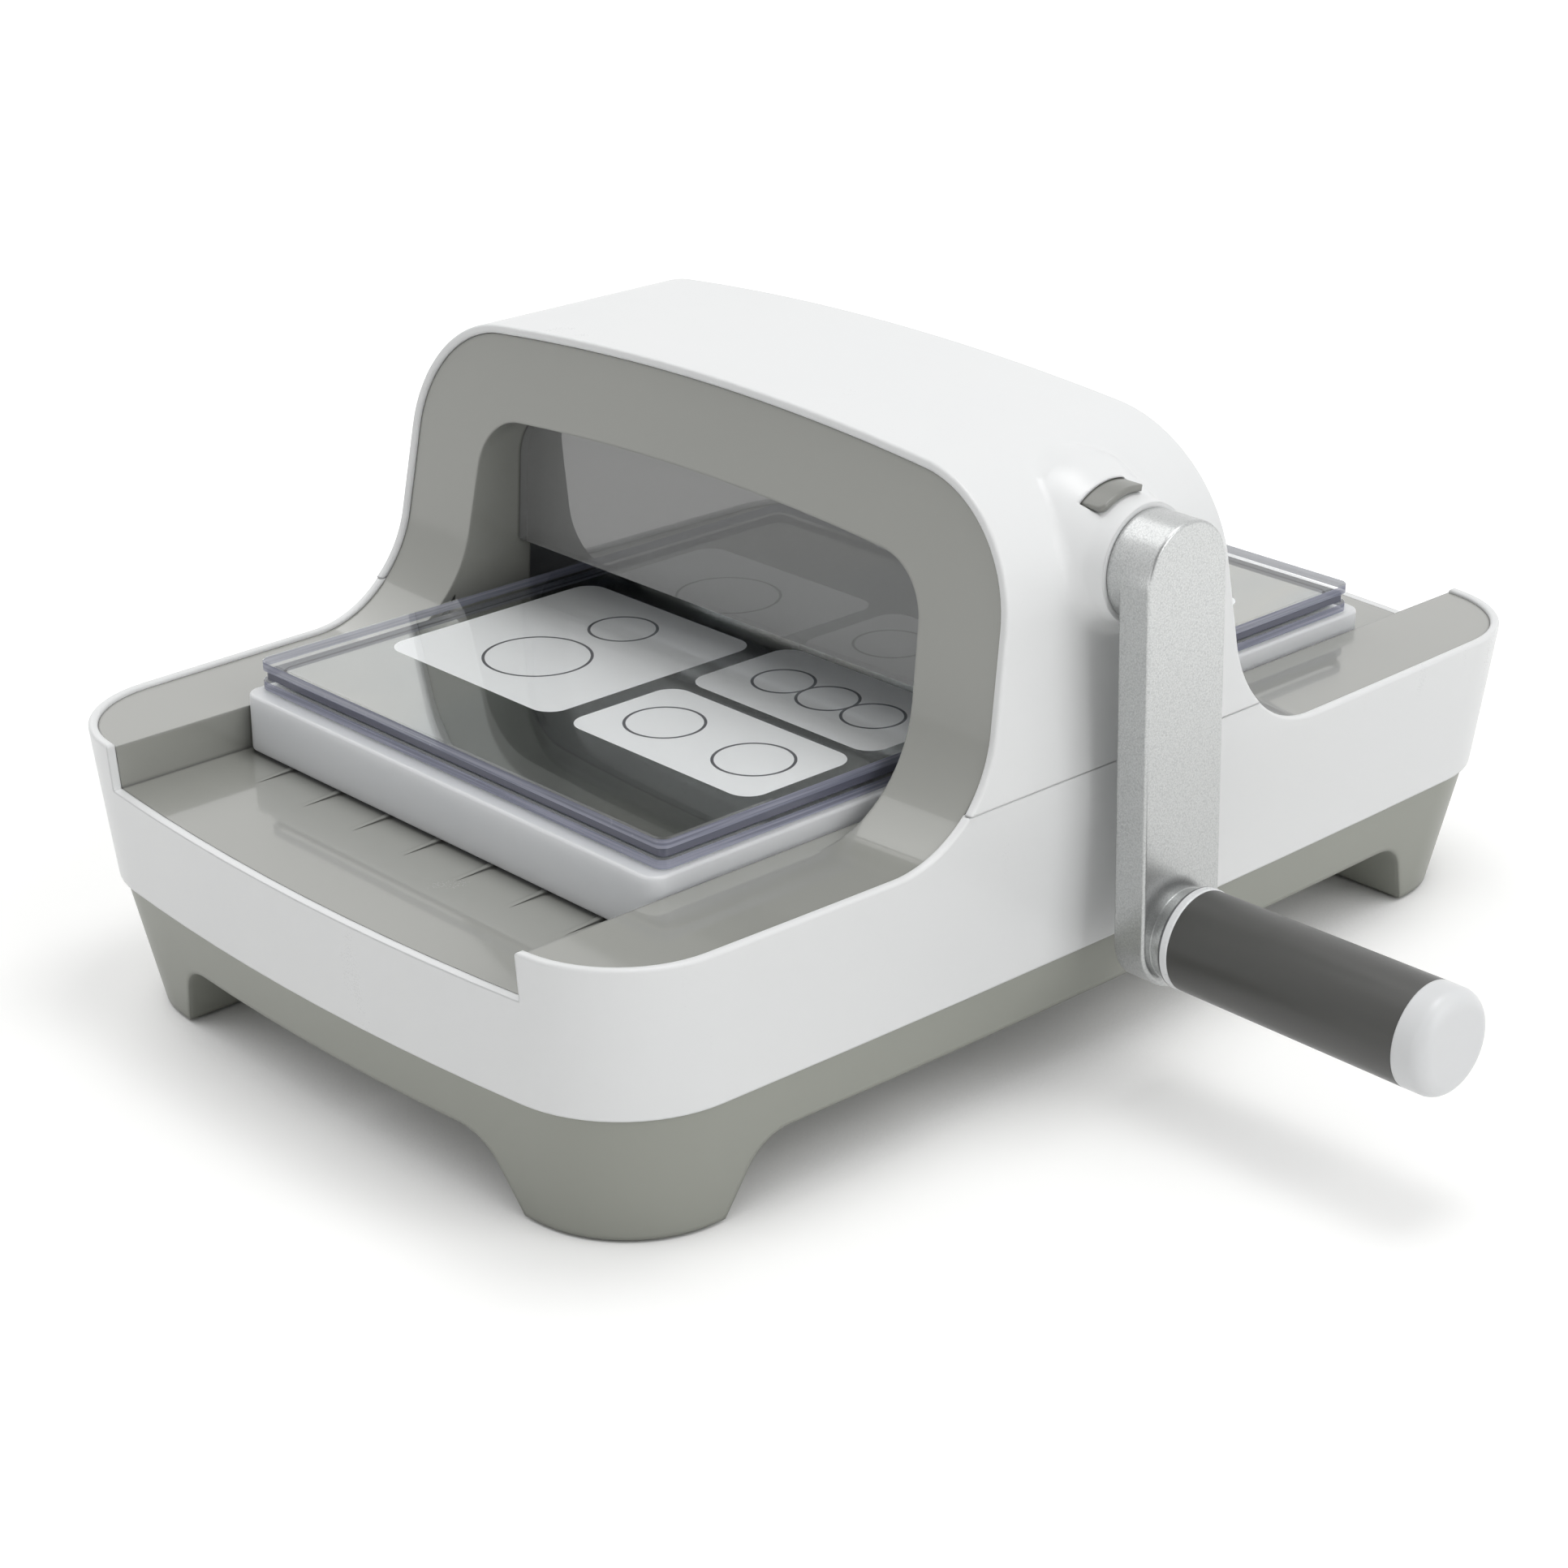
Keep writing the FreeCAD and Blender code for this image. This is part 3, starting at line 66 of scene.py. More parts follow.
# shader maths: a number in a material tree
class Field:
    def __init__(self, finish, socket):
        self.finish = finish
        self.socket = socket

    def work(self, operation, first, second=0.0):
        return self.finish.node("ShaderNodeMath", {"operation": operation}, {0: first, 1: second})

    def __add__(self, other):
        return self.work("ADD", self, other)

    def __radd__(self, other):
        return self.work("ADD", other, self)

    def __sub__(self, other):
        return self.work("SUBTRACT", self, other)

    def __rsub__(self, other):
        return self.work("SUBTRACT", other, self)

    def __mul__(self, other):
        return self.work("MULTIPLY", self, other)

    def __rmul__(self, other):
        return self.work("MULTIPLY", other, self)

    def __abs__(self):
        return self.work("ABSOLUTE", self)

    def atLeast(self, other):
        return self.work("MAXIMUM", self, other)

    def atMost(self, other):
        return self.work("MINIMUM", self, other)

    def power(self, other):
        return self.work("POWER", self, other)

    def sine(self):
        return self.work("SINE", self)

    def ramp(self, low, high):
        # 0 at low, 1 at high, smooth between
        return self.finish.node(
            "ShaderNodeMapRange", {"interpolation_type": "SMOOTHSTEP"}, {0: self, 1: low, 2: high})


def distance(x, y):
    # length of the flat vector x, y
    return (x.power(2.0) + y.power(2.0)).power(0.5)


# one material: every node of it comes from node()
class Finish:
    def __init__(self, name):
        self.material = bpy.data.materials.new(name)
        self.material.use_nodes = True
        self.tree = self.material.node_tree
        self.shader = self.tree.nodes["Principled BSDF"]

    def node(self, kind, settings=None, inputs=None, out=0):
        made = self.tree.nodes.new(kind)
        for key, value in (settings or {}).items():
            if key == "stops":
                elements = made.color_ramp.elements
                while len(elements) < len(value):
                    elements.new(1.0)
                for element, (place, colour) in zip(elements, value):
                    element.position = place
                    element.color = (*colour, 1)
            else:
                setattr(made, key, value)
        for key, value in (inputs or {}).items():
            self.plug(made.inputs[key], value)
        return Field(self, made.outputs[out])

    def plug(self, socket, value):
        if isinstance(value, Field):
            self.tree.links.new(value.socket, socket)
        elif socket.type == "RGBA" and len(value) == 3:
            socket.default_value = (*value, 1)
        else:
            socket.default_value = value

    def set(self, **values):
        names = {"colour": "Base Color", "coat": "Coat Weight", "coatRough": "Coat Roughness", "ior": "IOR",
                 "clear": "Transmission Weight", "milk": "Subsurface Weight", "milkDeep": "Subsurface Scale",
                 "milkSpread": "Subsurface Radius", "level": "Specular IOR Level", "glow": "Emission Color",
                 "glowPower": "Emission Strength"}
        for key, value in values.items():
            self.plug(self.shader.inputs[names.get(key, key.capitalize())], value)
        return self

    def place(self):
        return self.node("ShaderNodeTexCoord", out="Object")

    def axes(self, where=None):
        split = self.node("ShaderNodeSeparateXYZ", None, {0: where or self.place()})
        return [Field(self, split.socket.node.outputs[index]) for index in range(3)]

    def upright(self):
        # how far the surface faces up or down, 0 to 1
        return abs(self.axes(self.node("ShaderNodeNewGeometry", out="Normal"))[2])

    def noise(self, scale, detail=3.0, stretch=(1, 1, 1)):
        where = self.node("ShaderNodeMapping", None, {"Vector": self.place(), "Scale": stretch})
        return self.node("ShaderNodeTexNoise", None, {"Vector": where, "Scale": scale, "Detail": detail})

    def mix(self, share, first, second):
        return self.node("ShaderNodeMix", {"data_type": "RGBA"}, {0: share, 6: first, 7: second}, out=2)

    def free(self, count, reach):
        # 1 in the open, less where something stands within reach
        return self.node("ShaderNodeAmbientOcclusion", {"samples": count}, {"Distance": reach}, out="AO")

    def relief(self, height, strength, deep, edge=None):
        # bump, over softly rounded edges where edge is given
        wanted = {"Height": height, "Strength": strength, "Distance": deep}
        if edge:
            wanted["Normal"] = self.node("ShaderNodeBevel", {"samples": samples["edge"]}, {"Radius": edge})
        self.plug(self.shader.inputs["Normal"], self.node("ShaderNodeBump", None, wanted))
        return self


def shadeSmooth(work, angle):
    # smooth faces, with the edges over the angle kept sharp
    work.normal_update()
    for face in work.faces:
        face.smooth = True
    for edge in work.edges:
        edge.smooth = edge.calc_face_angle(0.0) < math.radians(angle)


def meshFrom(name, work):
    mesh = bpy.data.meshes.new(name)
    work.to_mesh(mesh)
    work.free()
    return mesh


def linked(name, mesh):
    piece = bpy.data.objects.new(name, mesh)
    scene.collection.objects.link(piece)
    return piece


def skin(name, work):
    # a plain mesh piece from a work mesh
    shadeSmooth(work, meshLimits["sharpOver"])
    piece = linked(name, meshFrom(name, work))
    weigh = piece.modifiers.new("weigh", "WEIGHTED_NORMAL")  # flat faces stay flat beside their rounded edges
    weigh.keep_sharp = True
    graph = bpy.context.evaluated_depsgraph_get()
    piece.data = bpy.data.meshes.new_from_object(piece.evaluated_get(graph))
    piece.modifiers.clear()
    return piece


def merged(node):
    # the CAD solid as a work mesh with its doubled points merged
    work = bmesh.new()
    work.from_mesh(nodes[node].data)
    bmesh.ops.remove_doubles(work, verts=work.verts, dist=meshLimits["merge"])
    return work


def smoothCopy(node):
    # the CAD solid with smooth shading, in the node's place
    work = merged(node)
    bmesh.ops.dissolve_degenerate(work, edges=work.edges, dist=meshLimits["slight"])
    return skin(node + "Skin", work)


def seat(piece, node):
    # the piece stands for the node and moves with its body
    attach(piece, bodyOf[node])
    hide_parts(node)


def dress(piece, finish):
    piece.data.materials.clear()
    piece.data.materials.append(finish.material)


# moulded plastics: own colours, sheen and edge softness on one kind of surface; the grey one also gets painted
# shade in its narrow corners
whitePlastic = {"colour": (0.795, 0.803, 0.800), "tint": (0.770, 0.780, 0.785), "rough": 0.30, "grain": 2600.0,
                "coat": 0.0, "edge": 0.0008, "level": 0.35}
greyPlastic = {"colour": (0.320, 0.324, 0.298), "tint": (0.300, 0.304, 0.280), "rough": 0.24, "grain": 2200.0,
               "coat": 0.9, "edge": 0.0012, "level": 0.3, "creaseShade": (0.10, 0.10, 0.092)}
basePlastic = {"colour": (0.325, 0.333, 0.297), "tint": (0.308, 0.316, 0.281), "rough": 0.36, "grain": 2200.0,
               "coat": 0.0, "edge": 0.0025, "level": 0.3}
buttonPlastic = {"colour": (0.235, 0.237, 0.220), "tint": (0.220, 0.222, 0.206), "rough": 0.29, "grain": 2200.0,
                 "coat": 0.0, "edge": 0.0006, "level": 0.5}
capPlastic = {"colour": (0.72, 0.73, 0.735), "tint": (0.69, 0.70, 0.71), "rough": 0.34, "grain": 2600.0,
              "coat": 0.0, "edge": 0.0006, "level": 0.5}
mouldLook = {"driftScale": 14.0, "streakScale": 60.0, "streakStretch": (1, 1, 0.35), "streakRough": 0.10,
             "grainRough": 0.05, "smoother": 0.075, "coatRough": 0.06, "bump": 0.05, "deep": 0.0002,
             "creaseShadeReach": 0.0016, "creaseShadeRamp": (0.40, 0.90)}


def mouldedPlastic(name, look):
    finish = Finish(name)
    drift = finish.noise(mouldLook["driftScale"], detail=2.0)
    grain = finish.noise(look["grain"], detail=2.0)
    streak = finish.noise(mouldLook["streakScale"], stretch=mouldLook["streakStretch"])
    uneven = streak * mouldLook["streakRough"] + grain * mouldLook["grainRough"]
    tone = finish.mix(drift, look["colour"], look["tint"])
    # painted shade: where ambient occlusion finds something close, the colour is darkened towards the crease shade
    # colour
    if "creaseShade" in look:  # narrow corners look darker
        free = finish.free(samples["creaseShade"], mouldLook["creaseShadeReach"])
        tone = finish.mix(free.ramp(*mouldLook["creaseShadeRamp"]), look["creaseShade"], tone)
    finish.set(
        colour=tone, roughness=uneven + (look["rough"] - mouldLook["smoother"]), coat=look["coat"],
        coatRough=mouldLook["coatRough"], level=look["level"])
    return finish.relief(grain, mouldLook["bump"], mouldLook["deep"], look["edge"])


whiteFinish = mouldedPlastic("satinWhitePlastic", whitePlastic)
greyFinish = mouldedPlastic("warmGreyPlastic", greyPlastic)
baseFinish = mouldedPlastic("baseGreyPlastic", basePlastic)
buttonFinish = mouldedPlastic("buttonGreyPlastic", buttonPlastic)
capFinish = mouldedPlastic("capWhitePlastic", capPlastic)


# clear sheets: light goes straight through, apart from the share that the surface itself shows
def clearSheet(finish, tint, share):
    through = finish.node("ShaderNodeBsdfTransparent", None, {"Color": tint})
    surface = Field(finish, finish.shader.outputs[0])
    whole = finish.node("ShaderNodeMixShader", None, {0: share, 1: through, 2: surface})
    finish.plug(finish.tree.nodes["Material Output"].inputs["Surface"], whole)


# smoked window
windowLook = {"tint": (0.72, 0.725, 0.72), "gloss": (0.90, 0.90, 0.90), "metallic": 0.7, "rough": 0.005,
              "smearScale": 35.0, "smearRough": 0.01, "body": 0.10, "ior": 1.49}
smokeFinish = Finish("smokedWindow")
smear = smokeFinish.noise(windowLook["smearScale"], detail=4.0)
smokeFinish.set(
    colour=windowLook["gloss"], metallic=windowLook["metallic"],
    roughness=smear * windowLook["smearRough"] + windowLook["rough"])
windowGloss = smokeFinish.node("ShaderNodeFresnel", None, {"IOR": windowLook["ior"]})
clearSheet(smokeFinish, windowLook["tint"], windowGloss + windowLook["body"])

# clear cutting pads: almost colourless through the faces, grey violet at the sawn edges
padLook = {"tint": (0.980, 0.985, 0.988), "face": (0.96, 0.97, 0.98), "faceRamp": (0.2, 0.8), "rough": 0.012,
           "scuffScale": 900.0, "scuffStretch": (1, 0.06, 1), "scuffRamp": (0.60, 0.74), "scuffRough": 0.10,
           "edge": (0.38, 0.39, 0.49), "edgeShade": (0.22, 0.23, 0.31), "edgeCover": 0.80, "edgeRough": 0.18,
           "sawnScale": 420.0, "sawnStretch": (0.05, 0.05, 4.0), "sawnRamp": (0.35, 0.65), "ior": 1.49,
           "body": 0.02}
padFinish = Finish("clearPad")
faceUp = padFinish.upright().ramp(*padLook["faceRamp"])
scuff = padFinish.noise(padLook["scuffScale"], detail=4.0, stretch=padLook["scuffStretch"])
sawn = padFinish.noise(padLook["sawnScale"], stretch=padLook["sawnStretch"]).ramp(*padLook["sawnRamp"])
padFinish.set(
    colour=padFinish.mix(faceUp, padFinish.mix(sawn, padLook["edge"], padLook["edgeShade"]), padLook["face"]),
    metallic=faceUp,
    roughness=scuff.ramp(*padLook["scuffRamp"]) * padLook["scuffRough"] + (1 - faceUp) * padLook["edgeRough"]
    + padLook["rough"])
entering = 1 - padFinish.node("ShaderNodeNewGeometry", out="Backfacing")  # the inner faces would mirror everything
padGloss = (padFinish.node("ShaderNodeFresnel", None, {"IOR": padLook["ior"]}) + padLook["body"]) * entering
clearSheet(padFinish, padLook["tint"], faceUp * padGloss + (1 - faceUp) * padLook["edgeCover"])

# milky platform, a slab with round corners and soft edges
platformLook = {"colour": (0.77, 0.785, 0.805), "cloud": (0.72, 0.738, 0.765), "cloudScale": 22.0, "rough": 0.28,
                "cloudRough": 0.08, "clear": 0.05, "milk": 0.8, "milkDeep": 0.012, "milkSpread": (1, 1, 1),
                "ior": 1.46, "speckScale": 1800.0, "bump": 0.04, "deep": 0.0002, "corner": 0.0045, "steps": 8,
                "soft": 0.0008, "softSteps": 4}
milkyFinish = Finish("milkyPlastic")
cloud = milkyFinish.noise(platformLook["cloudScale"])
speck = milkyFinish.noise(platformLook["speckScale"], detail=2.0)
milkyFinish.set(
    colour=milkyFinish.mix(cloud, platformLook["colour"], platformLook["cloud"]),
    roughness=cloud * platformLook["cloudRough"] + platformLook["rough"],
    **{key: platformLook[key] for key in ("clear", "milk", "milkDeep", "milkSpread", "ior")})
milkyFinish.relief(speck, platformLook["bump"], platformLook["deep"])


def platformSlab():
    low, high = (Vector(corner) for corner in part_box("platform"))
    corner = platformLook["corner"]
    steps = platformLook["steps"]
    work = bmesh.new()
    outline = []
    for quarter, (x, y) in enumerate((
            (high.x - corner, high.y - corner), (low.x + corner, high.y - corner),
            (low.x + corner, low.y + corner), (high.x - corner, low.y + corner))):
        for step in range(steps + 1):
            angle = (quarter + step / steps) * math.pi / 2
            outline.append(work.verts.new((x + corner * math.cos(angle), y + corner * math.sin(angle), low.z)))
    under = work.faces.new(outline)
    raised = bmesh.ops.extrude_face_region(work, geom=[under])["geom"]
    bmesh.ops.translate(
        work, verts=[part for part in raised if isinstance(part, bmesh.types.BMVert)], vec=(0, 0, high.z - low.z))
    bmesh.ops.recalc_face_normals(work, faces=work.faces)
    level = [edge for edge in work.edges
             if abs(edge.verts[0].co.z - edge.verts[1].co.z) < meshLimits["slight"]]
    bmesh.ops.bevel(
        work, geom=level, offset=platformLook["soft"], offset_type="OFFSET", segments=platformLook["softSteps"],
        profile=0.5, affect="EDGES", clamp_overlap=True)
    piece = skin("platformSkin", work)
    dress(piece, milkyFinish)
    seat(piece, "platform")


# silver metallic paint on the crank arm
silverLook = {"colour": (0.61, 0.62, 0.615), "dark": (0.42, 0.43, 0.43), "metallic": 0.82, "rough": 0.26,
              "flakeScale": 2400.0, "flakeRough": 0.08, "coat": 0.15, "coatRough": 0.2, "peelScale": 420.0,
              "bump": 0.05, "deep": 0.0003, "edge": 0.0006}
silverFinish = Finish("silverPaint")
flake = silverFinish.node(
    "ShaderNodeTexVoronoi", None, {"Vector": silverFinish.place(), "Scale": silverLook["flakeScale"]})
peel = silverFinish.noise(silverLook["peelScale"], detail=2.0)
silverFinish.set(
    colour=silverFinish.mix(flake, silverLook["colour"], silverLook["dark"]), metallic=silverLook["metallic"],
    roughness=flake * silverLook["flakeRough"] + silverLook["rough"], coat=silverLook["coat"],
    coatRough=silverLook["coatRough"])
silverFinish.relief(peel, silverLook["bump"], silverLook["deep"], silverLook["edge"])

# charcoal sleeve of the grip
gripLook = {"colour": (0.062, 0.062, 0.058), "tint": (0.054, 0.054, 0.051), "rough": 0.34, "smoother": 0.08,
            "level": 0.6, "pebbleScale": 1500.0, "pebbleRough": 0.06, "handlingScale": 26.0, "handlingRough": 0.12,
            "bump": 0.05, "deep": 0.0002, "edge": 0.0004}
gripFinish = Finish("charcoalSleeve")
pebble = gripFinish.noise(gripLook["pebbleScale"])
handling = gripFinish.noise(gripLook["handlingScale"], detail=2.0)
gripFinish.set(
    colour=gripFinish.mix(handling, gripLook["colour"], gripLook["tint"]),
    roughness=handling * gripLook["handlingRough"] + pebble * gripLook["pebbleRough"] + gripLook["rough"]
    - gripLook["smoother"], level=gripLook["level"])
gripFinish.relief(pebble, gripLook["bump"], gripLook["deep"], gripLook["edge"])

# collar of the grip: a thin grey ring towards the arm, darkened as painted shade of the gap beside the arm, then
# white
collarLook = {"white": (0.78, 0.79, 0.80), "grey": (0.12, 0.12, 0.125), "rough": 0.24, "wearScale": 300.0,
              "wearRough": 0.08, "ringFrom": 0.0010, "ringTo": 0.0012}
collarFinish = Finish("collarPlastic")
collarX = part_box("grip_core")[0][0]
# painted shade: the first millimetre of the collar towards the arm is dark grey
ringShare = collarFinish.axes()[0].ramp(collarX + collarLook["ringFrom"], collarX + collarLook["ringTo"])
collarFinish.set(
    colour=collarFinish.mix(ringShare, collarLook["grey"], collarLook["white"]),
    roughness=collarFinish.noise(collarLook["wearScale"]) * collarLook["wearRough"] + collarLook["rough"])


# printed plate under the upper pad: plain pale panels on a dark chrome sheet
plateLook = {
    "sheet": ((0.25, (0.30, 0.31, 0.315)), (0.42, (0.42, 0.44, 0.43)), (0.54, (0.50, 0.49, 0.45)),
              (0.64, (0.41, 0.44, 0.455)), (0.80, (0.31, 0.325, 0.335))),
    "pale": (0.93, 0.935, 0.93), "line": (0.10, 0.10, 0.11), "edge": (0.14, 0.145, 0.19), "upRamp": (0.4, 0.8),
    "shimmerScale": 9.0, "shimmerStretch": (1, 0.6, 1), "shimmerRough": 0.06, "paleRough": 0.3, "rough": 0.03,
    "metallic": 0.95, "panelRamp": (-0.0001, 0.0001), "lineRamp": (0.0003, 0.0005),
    # centre x, centre y, half width, half length, corner, from the plate's own middle, in metres
    "border": (0.0, 0.0, 0.0735, 0.120, 0.004),
    "panels": ((-0.036, -0.055, 0.033, 0.035, 0.006), (0.036, -0.072, 0.033, 0.018, 0.006),
               (0.036, -0.032, 0.033, 0.018, 0.006), (0.0, 0.052, 0.062, 0.046, 0.006)),
    # centre x, centre y, radius
    "rings": ((-0.036, -0.066, 0.014), (-0.036, -0.037, 0.009), (0.020, -0.072, 0.010), (0.052, -0.072, 0.010),
              (0.020, -0.032, 0.008), (0.036, -0.032, 0.008), (0.052, -0.032, 0.008)),
}


def printedPlate():
    finish = Finish("printedPlate")
    low, high = (Vector(corner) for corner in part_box("base_plate"))
    middle = (low + high) / 2
    x, y = finish.axes()[:2]
    x = x - middle.x
    y = y - middle.y

    def panel(cx, cy, halfWide, halfLong, corner):
        # distance outside a rounded box
        outX = abs(x - cx) - (halfWide - corner)
        outY = abs(y - cy) - (halfLong - corner)
        beyond = distance(outX.atLeast(0.0), outY.atLeast(0.0))
        return beyond + outX.atLeast(outY).atMost(0.0) - corner

    def stroke(offset):
        # a thin line where the offset is 0
        return 1 - abs(offset).ramp(*plateLook["lineRamp"])

    pale = 0.0
    for place in plateLook["panels"]:
        pale = (1 - panel(*place).ramp(*plateLook["panelRamp"])).atLeast(pale)
    line = 0.0
    for cx, cy, radius in plateLook["rings"]:
        line = stroke(distance(x - cx, y - cy) - radius).atLeast(line)
    frameLine = stroke(panel(*plateLook["border"]))
    shimmer = finish.noise(plateLook["shimmerScale"], detail=2.0, stretch=plateLook["shimmerStretch"])
    sheet = finish.node("ShaderNodeValToRGB", {"stops": plateLook["sheet"]}, {0: shimmer})
    colour = finish.mix(pale, sheet, plateLook["pale"])
    colour = finish.mix((line * pale).atLeast(frameLine), colour, plateLook["line"])
    upward = finish.upright().ramp(*plateLook["upRamp"])
    return finish.set(
        colour=finish.mix(upward, plateLook["edge"], colour),
        roughness=pale * plateLook["paleRough"] + shimmer * plateLook["shimmerRough"] + plateLook["rough"],
        metallic=(1 - pale) * upward * plateLook["metallic"])


plateFinish = printedPlate()

# metals of the mechanism: own looks, and the wear that they share
metalLooks = {
    "turnedSteel": {"colour": (0.56, 0.57, 0.58), "rough": 0.28, "rings": 5200.0, "bump": 0.10},
    "groundRoller": {"colour": (0.50, 0.51, 0.53), "rough": 0.24, "rings": 9000.0, "bump": 0.10},
    "sinteredBronze": {"colour": (0.48, 0.32, 0.14), "rough": 0.42, "rings": 0.0, "bump": 0.06},
    "zincPlate": {"colour": (0.42, 0.43, 0.44), "rough": 0.46, "rings": 0.0, "bump": 0.02},
}
metalWear = {"patchScale": 120.0, "patchRough": 0.14, "smoother": 0.07, "darker": 0.82, "grainScale": 1600.0,
             "ringHigh": 0.5, "deep": 0.0002}


def metal(name):
    look = metalLooks[name]
    finish = Finish(name)
    patch = finish.noise(metalWear["patchScale"], detail=4.0)
    height = finish.noise(metalWear["grainScale"], detail=2.0)
    if look["rings"]:
        height = (finish.axes()[0] * look["rings"]).sine() * metalWear["ringHigh"] + height
    darker = tuple(metalWear["darker"] * part for part in look["colour"])
    finish.set(
        colour=finish.mix(patch, look["colour"], darker), metallic=1.0,
        roughness=patch * metalWear["patchRough"] + look["rough"] - metalWear["smoother"])
    return finish.relief(height, look["bump"], metalWear["deep"])


steelFinish = metal("turnedSteel")
rollerFinish = metal("groundRoller")
bronzeFinish = metal("sinteredBronze")
zincFinish = metal("zincPlate")

# rubber of the feet
rubberLook = {"colour": (0.022, 0.022, 0.023), "tint": (0.034, 0.034, 0.034), "rough": 0.72, "grainScale": 1100.0,
              "grainRough": 0.2, "smoother": 0.1, "bump": 0.25, "deep": 0.0003}
rubberFinish = Finish("footRubber")
rubberGrain = rubberFinish.noise(rubberLook["grainScale"])
rubberFinish.set(
    colour=rubberFinish.mix(rubberGrain, rubberLook["colour"], rubberLook["tint"]),
    roughness=rubberGrain * rubberLook["grainRough"] + rubberLook["rough"] - rubberLook["smoother"])
rubberFinish.relief(rubberGrain, rubberLook["bump"], rubberLook["deep"])
print("finishes made")

# the CAD solids, smoothed and dressed: node -> finish, record slot
skins = {
    "apron_shell": (whiteFinish, "white_shell"), "arch_cover": (whiteFinish, "white_shell"),
    "front_deck": (greyFinish, "grey_shell"), "rear_deck": (greyFinish, "grey_shell"),
    "base_shell": (baseFinish, "grey_shell"),
    "front_window": (smokeFinish, "smoked_window"), "rear_window": (smokeFinish, "smoked_window"),
    "upper_roller": (rollerFinish, "roller_steel"), "lower_roller": (rollerFinish, "roller_steel"),
    "upper_sync_gear": (steelFinish, "steel"), "lower_sync_gear": (steelFinish, "steel"),
    "upper_idler_gear": (steelFinish, "steel"), "lower_idler_gear": (steelFinish, "steel"),
    "drive_gear": (steelFinish, "steel"), "crank_pinion": (steelFinish, "steel"),
    "idler_studs": (steelFinish, "steel"), "crank_shaft": (steelFinish, "steel"),
    "grip_spindle": (steelFinish, "steel"), "tie_rods": (steelFinish, "steel"),
    "left_side_frame": (zincFinish, "frame_steel"), "right_side_frame": (zincFinish, "frame_steel"),
    "upper_left_bush": (bronzeFinish, "bush_bronze"), "lower_left_bush": (bronzeFinish, "bush_bronze"),
    "upper_right_bush": (bronzeFinish, "bush_bronze"), "lower_right_bush": (bronzeFinish, "bush_bronze"),
    "crank_bush": (bronzeFinish, "bush_bronze"), "boss_bush": (bronzeFinish, "bush_bronze"),
    "crank_arm": (silverFinish, "silver_paint"), "grip_core": (collarFinish, "pale_plastic"),
    "grip_sleeve": (gripFinish, "grip_charcoal"), "grip_end_cap": (capFinish, "white_cap"),
    "release_button": (buttonFinish, "button_grey"),
    "lower_cutting_pad": (padFinish, "clear_pad"), "upper_cutting_pad": (padFinish, "clear_pad"),
    "base_plate": (plateFinish, "dark_plate"),
}
for node, (finish, slot) in skins.items():
    piece = smoothCopy(node)
    dress(piece, finish)
    seat(piece, node)
platformSlab()


def leafSpring():
    piece = smoothCopy("button_spring")
    dress(piece, steelFinish)
    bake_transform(piece)
    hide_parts("button_spring")


leafSpring()
print("skins on", len(skins) + 2, "nodes")


# repeats: one template, copied to points by Geometry Nodes
def lathe(name, profile, steps=40):
    # profile of (radius, z), turned about Z
    work = bmesh.new()
    verts = [work.verts.new((radius, 0, z)) for radius, z in profile]
    edges = [work.edges.new(pair) for pair in zip(verts, verts[1:])]
    bmesh.ops.spin(
        work, geom=verts + edges, cent=(0, 0, 0), axis=(0, 0, 1), angle=2 * math.pi, steps=steps, use_merge=False)
    bmesh.ops.remove_doubles(work, verts=work.verts, dist=meshLimits["slight"])
    bmesh.ops.recalc_face_normals(work, faces=work.faces)
    shadeSmooth(work, meshLimits["turnedSharpOver"])
    return linked(name, meshFrom(name, work))


def repeatTree(name, cross):
    # points in, a turned template on each; with cross, a recess is sunk into the template first
    tree = bpy.data.node_groups.new(name, "GeometryNodeTree")
    face = tree.interface
    for socket, kind in (
            ("Geometry", "Geometry"), ("Template", "Object"), ("Finish", "Material"), ("Recess Long", "Float"),
            ("Recess Wide", "Float"), ("Recess Deep", "Float"), ("Tilt", "Rotation")):
        face.new_socket(socket, in_out="INPUT", socket_type="NodeSocket" + kind)
    face.new_socket("Geometry", in_out="OUTPUT", socket_type="NodeSocketGeometry")
    new = tree.nodes.new
    link = tree.links.new
    start = new("NodeGroupInput")
    end = new("NodeGroupOutput")
    template = new("GeometryNodeObjectInfo")
    link(start.outputs["Template"], template.inputs["Object"])
    shape = template.outputs["Geometry"]
    if cross:
        joined = new("GeometryNodeMeshBoolean")
        joined.operation = "UNION"
        for first, second in (("Recess Long", "Recess Wide"), ("Recess Wide", "Recess Long")):
            size = new("ShaderNodeCombineXYZ")
            link(start.outputs[first], size.inputs[0])
            link(start.outputs[second], size.inputs[1])
            link(start.outputs["Recess Deep"], size.inputs[2])
            cutter = new("GeometryNodeMeshCube")
            link(size.outputs[0], cutter.inputs["Size"])
            link(cutter.outputs["Mesh"], joined.inputs["Mesh 2"])
        sink = new("GeometryNodeMeshBoolean")
        sink.operation = "DIFFERENCE"
        link(shape, sink.inputs["Mesh 1"])
        link(joined.outputs["Mesh"], sink.inputs["Mesh 2"])
        for cut in (joined, sink):
            cut.solver = "EXACT"
        shape = sink.outputs["Mesh"]
    onPoints = new("GeometryNodeInstanceOnPoints")
    link(start.outputs["Geometry"], onPoints.inputs["Points"])
    link(shape, onPoints.inputs["Instance"])
    link(start.outputs["Tilt"], onPoints.inputs["Rotation"])
    realize = new("GeometryNodeRealizeInstances")
    link(onPoints.outputs[0], realize.inputs[0])
    paint = new("GeometryNodeSetMaterial")
    link(realize.outputs[0], paint.inputs["Geometry"])
    link(start.outputs["Finish"], paint.inputs["Material"])
    link(paint.outputs[0], end.inputs[0])
    return tree


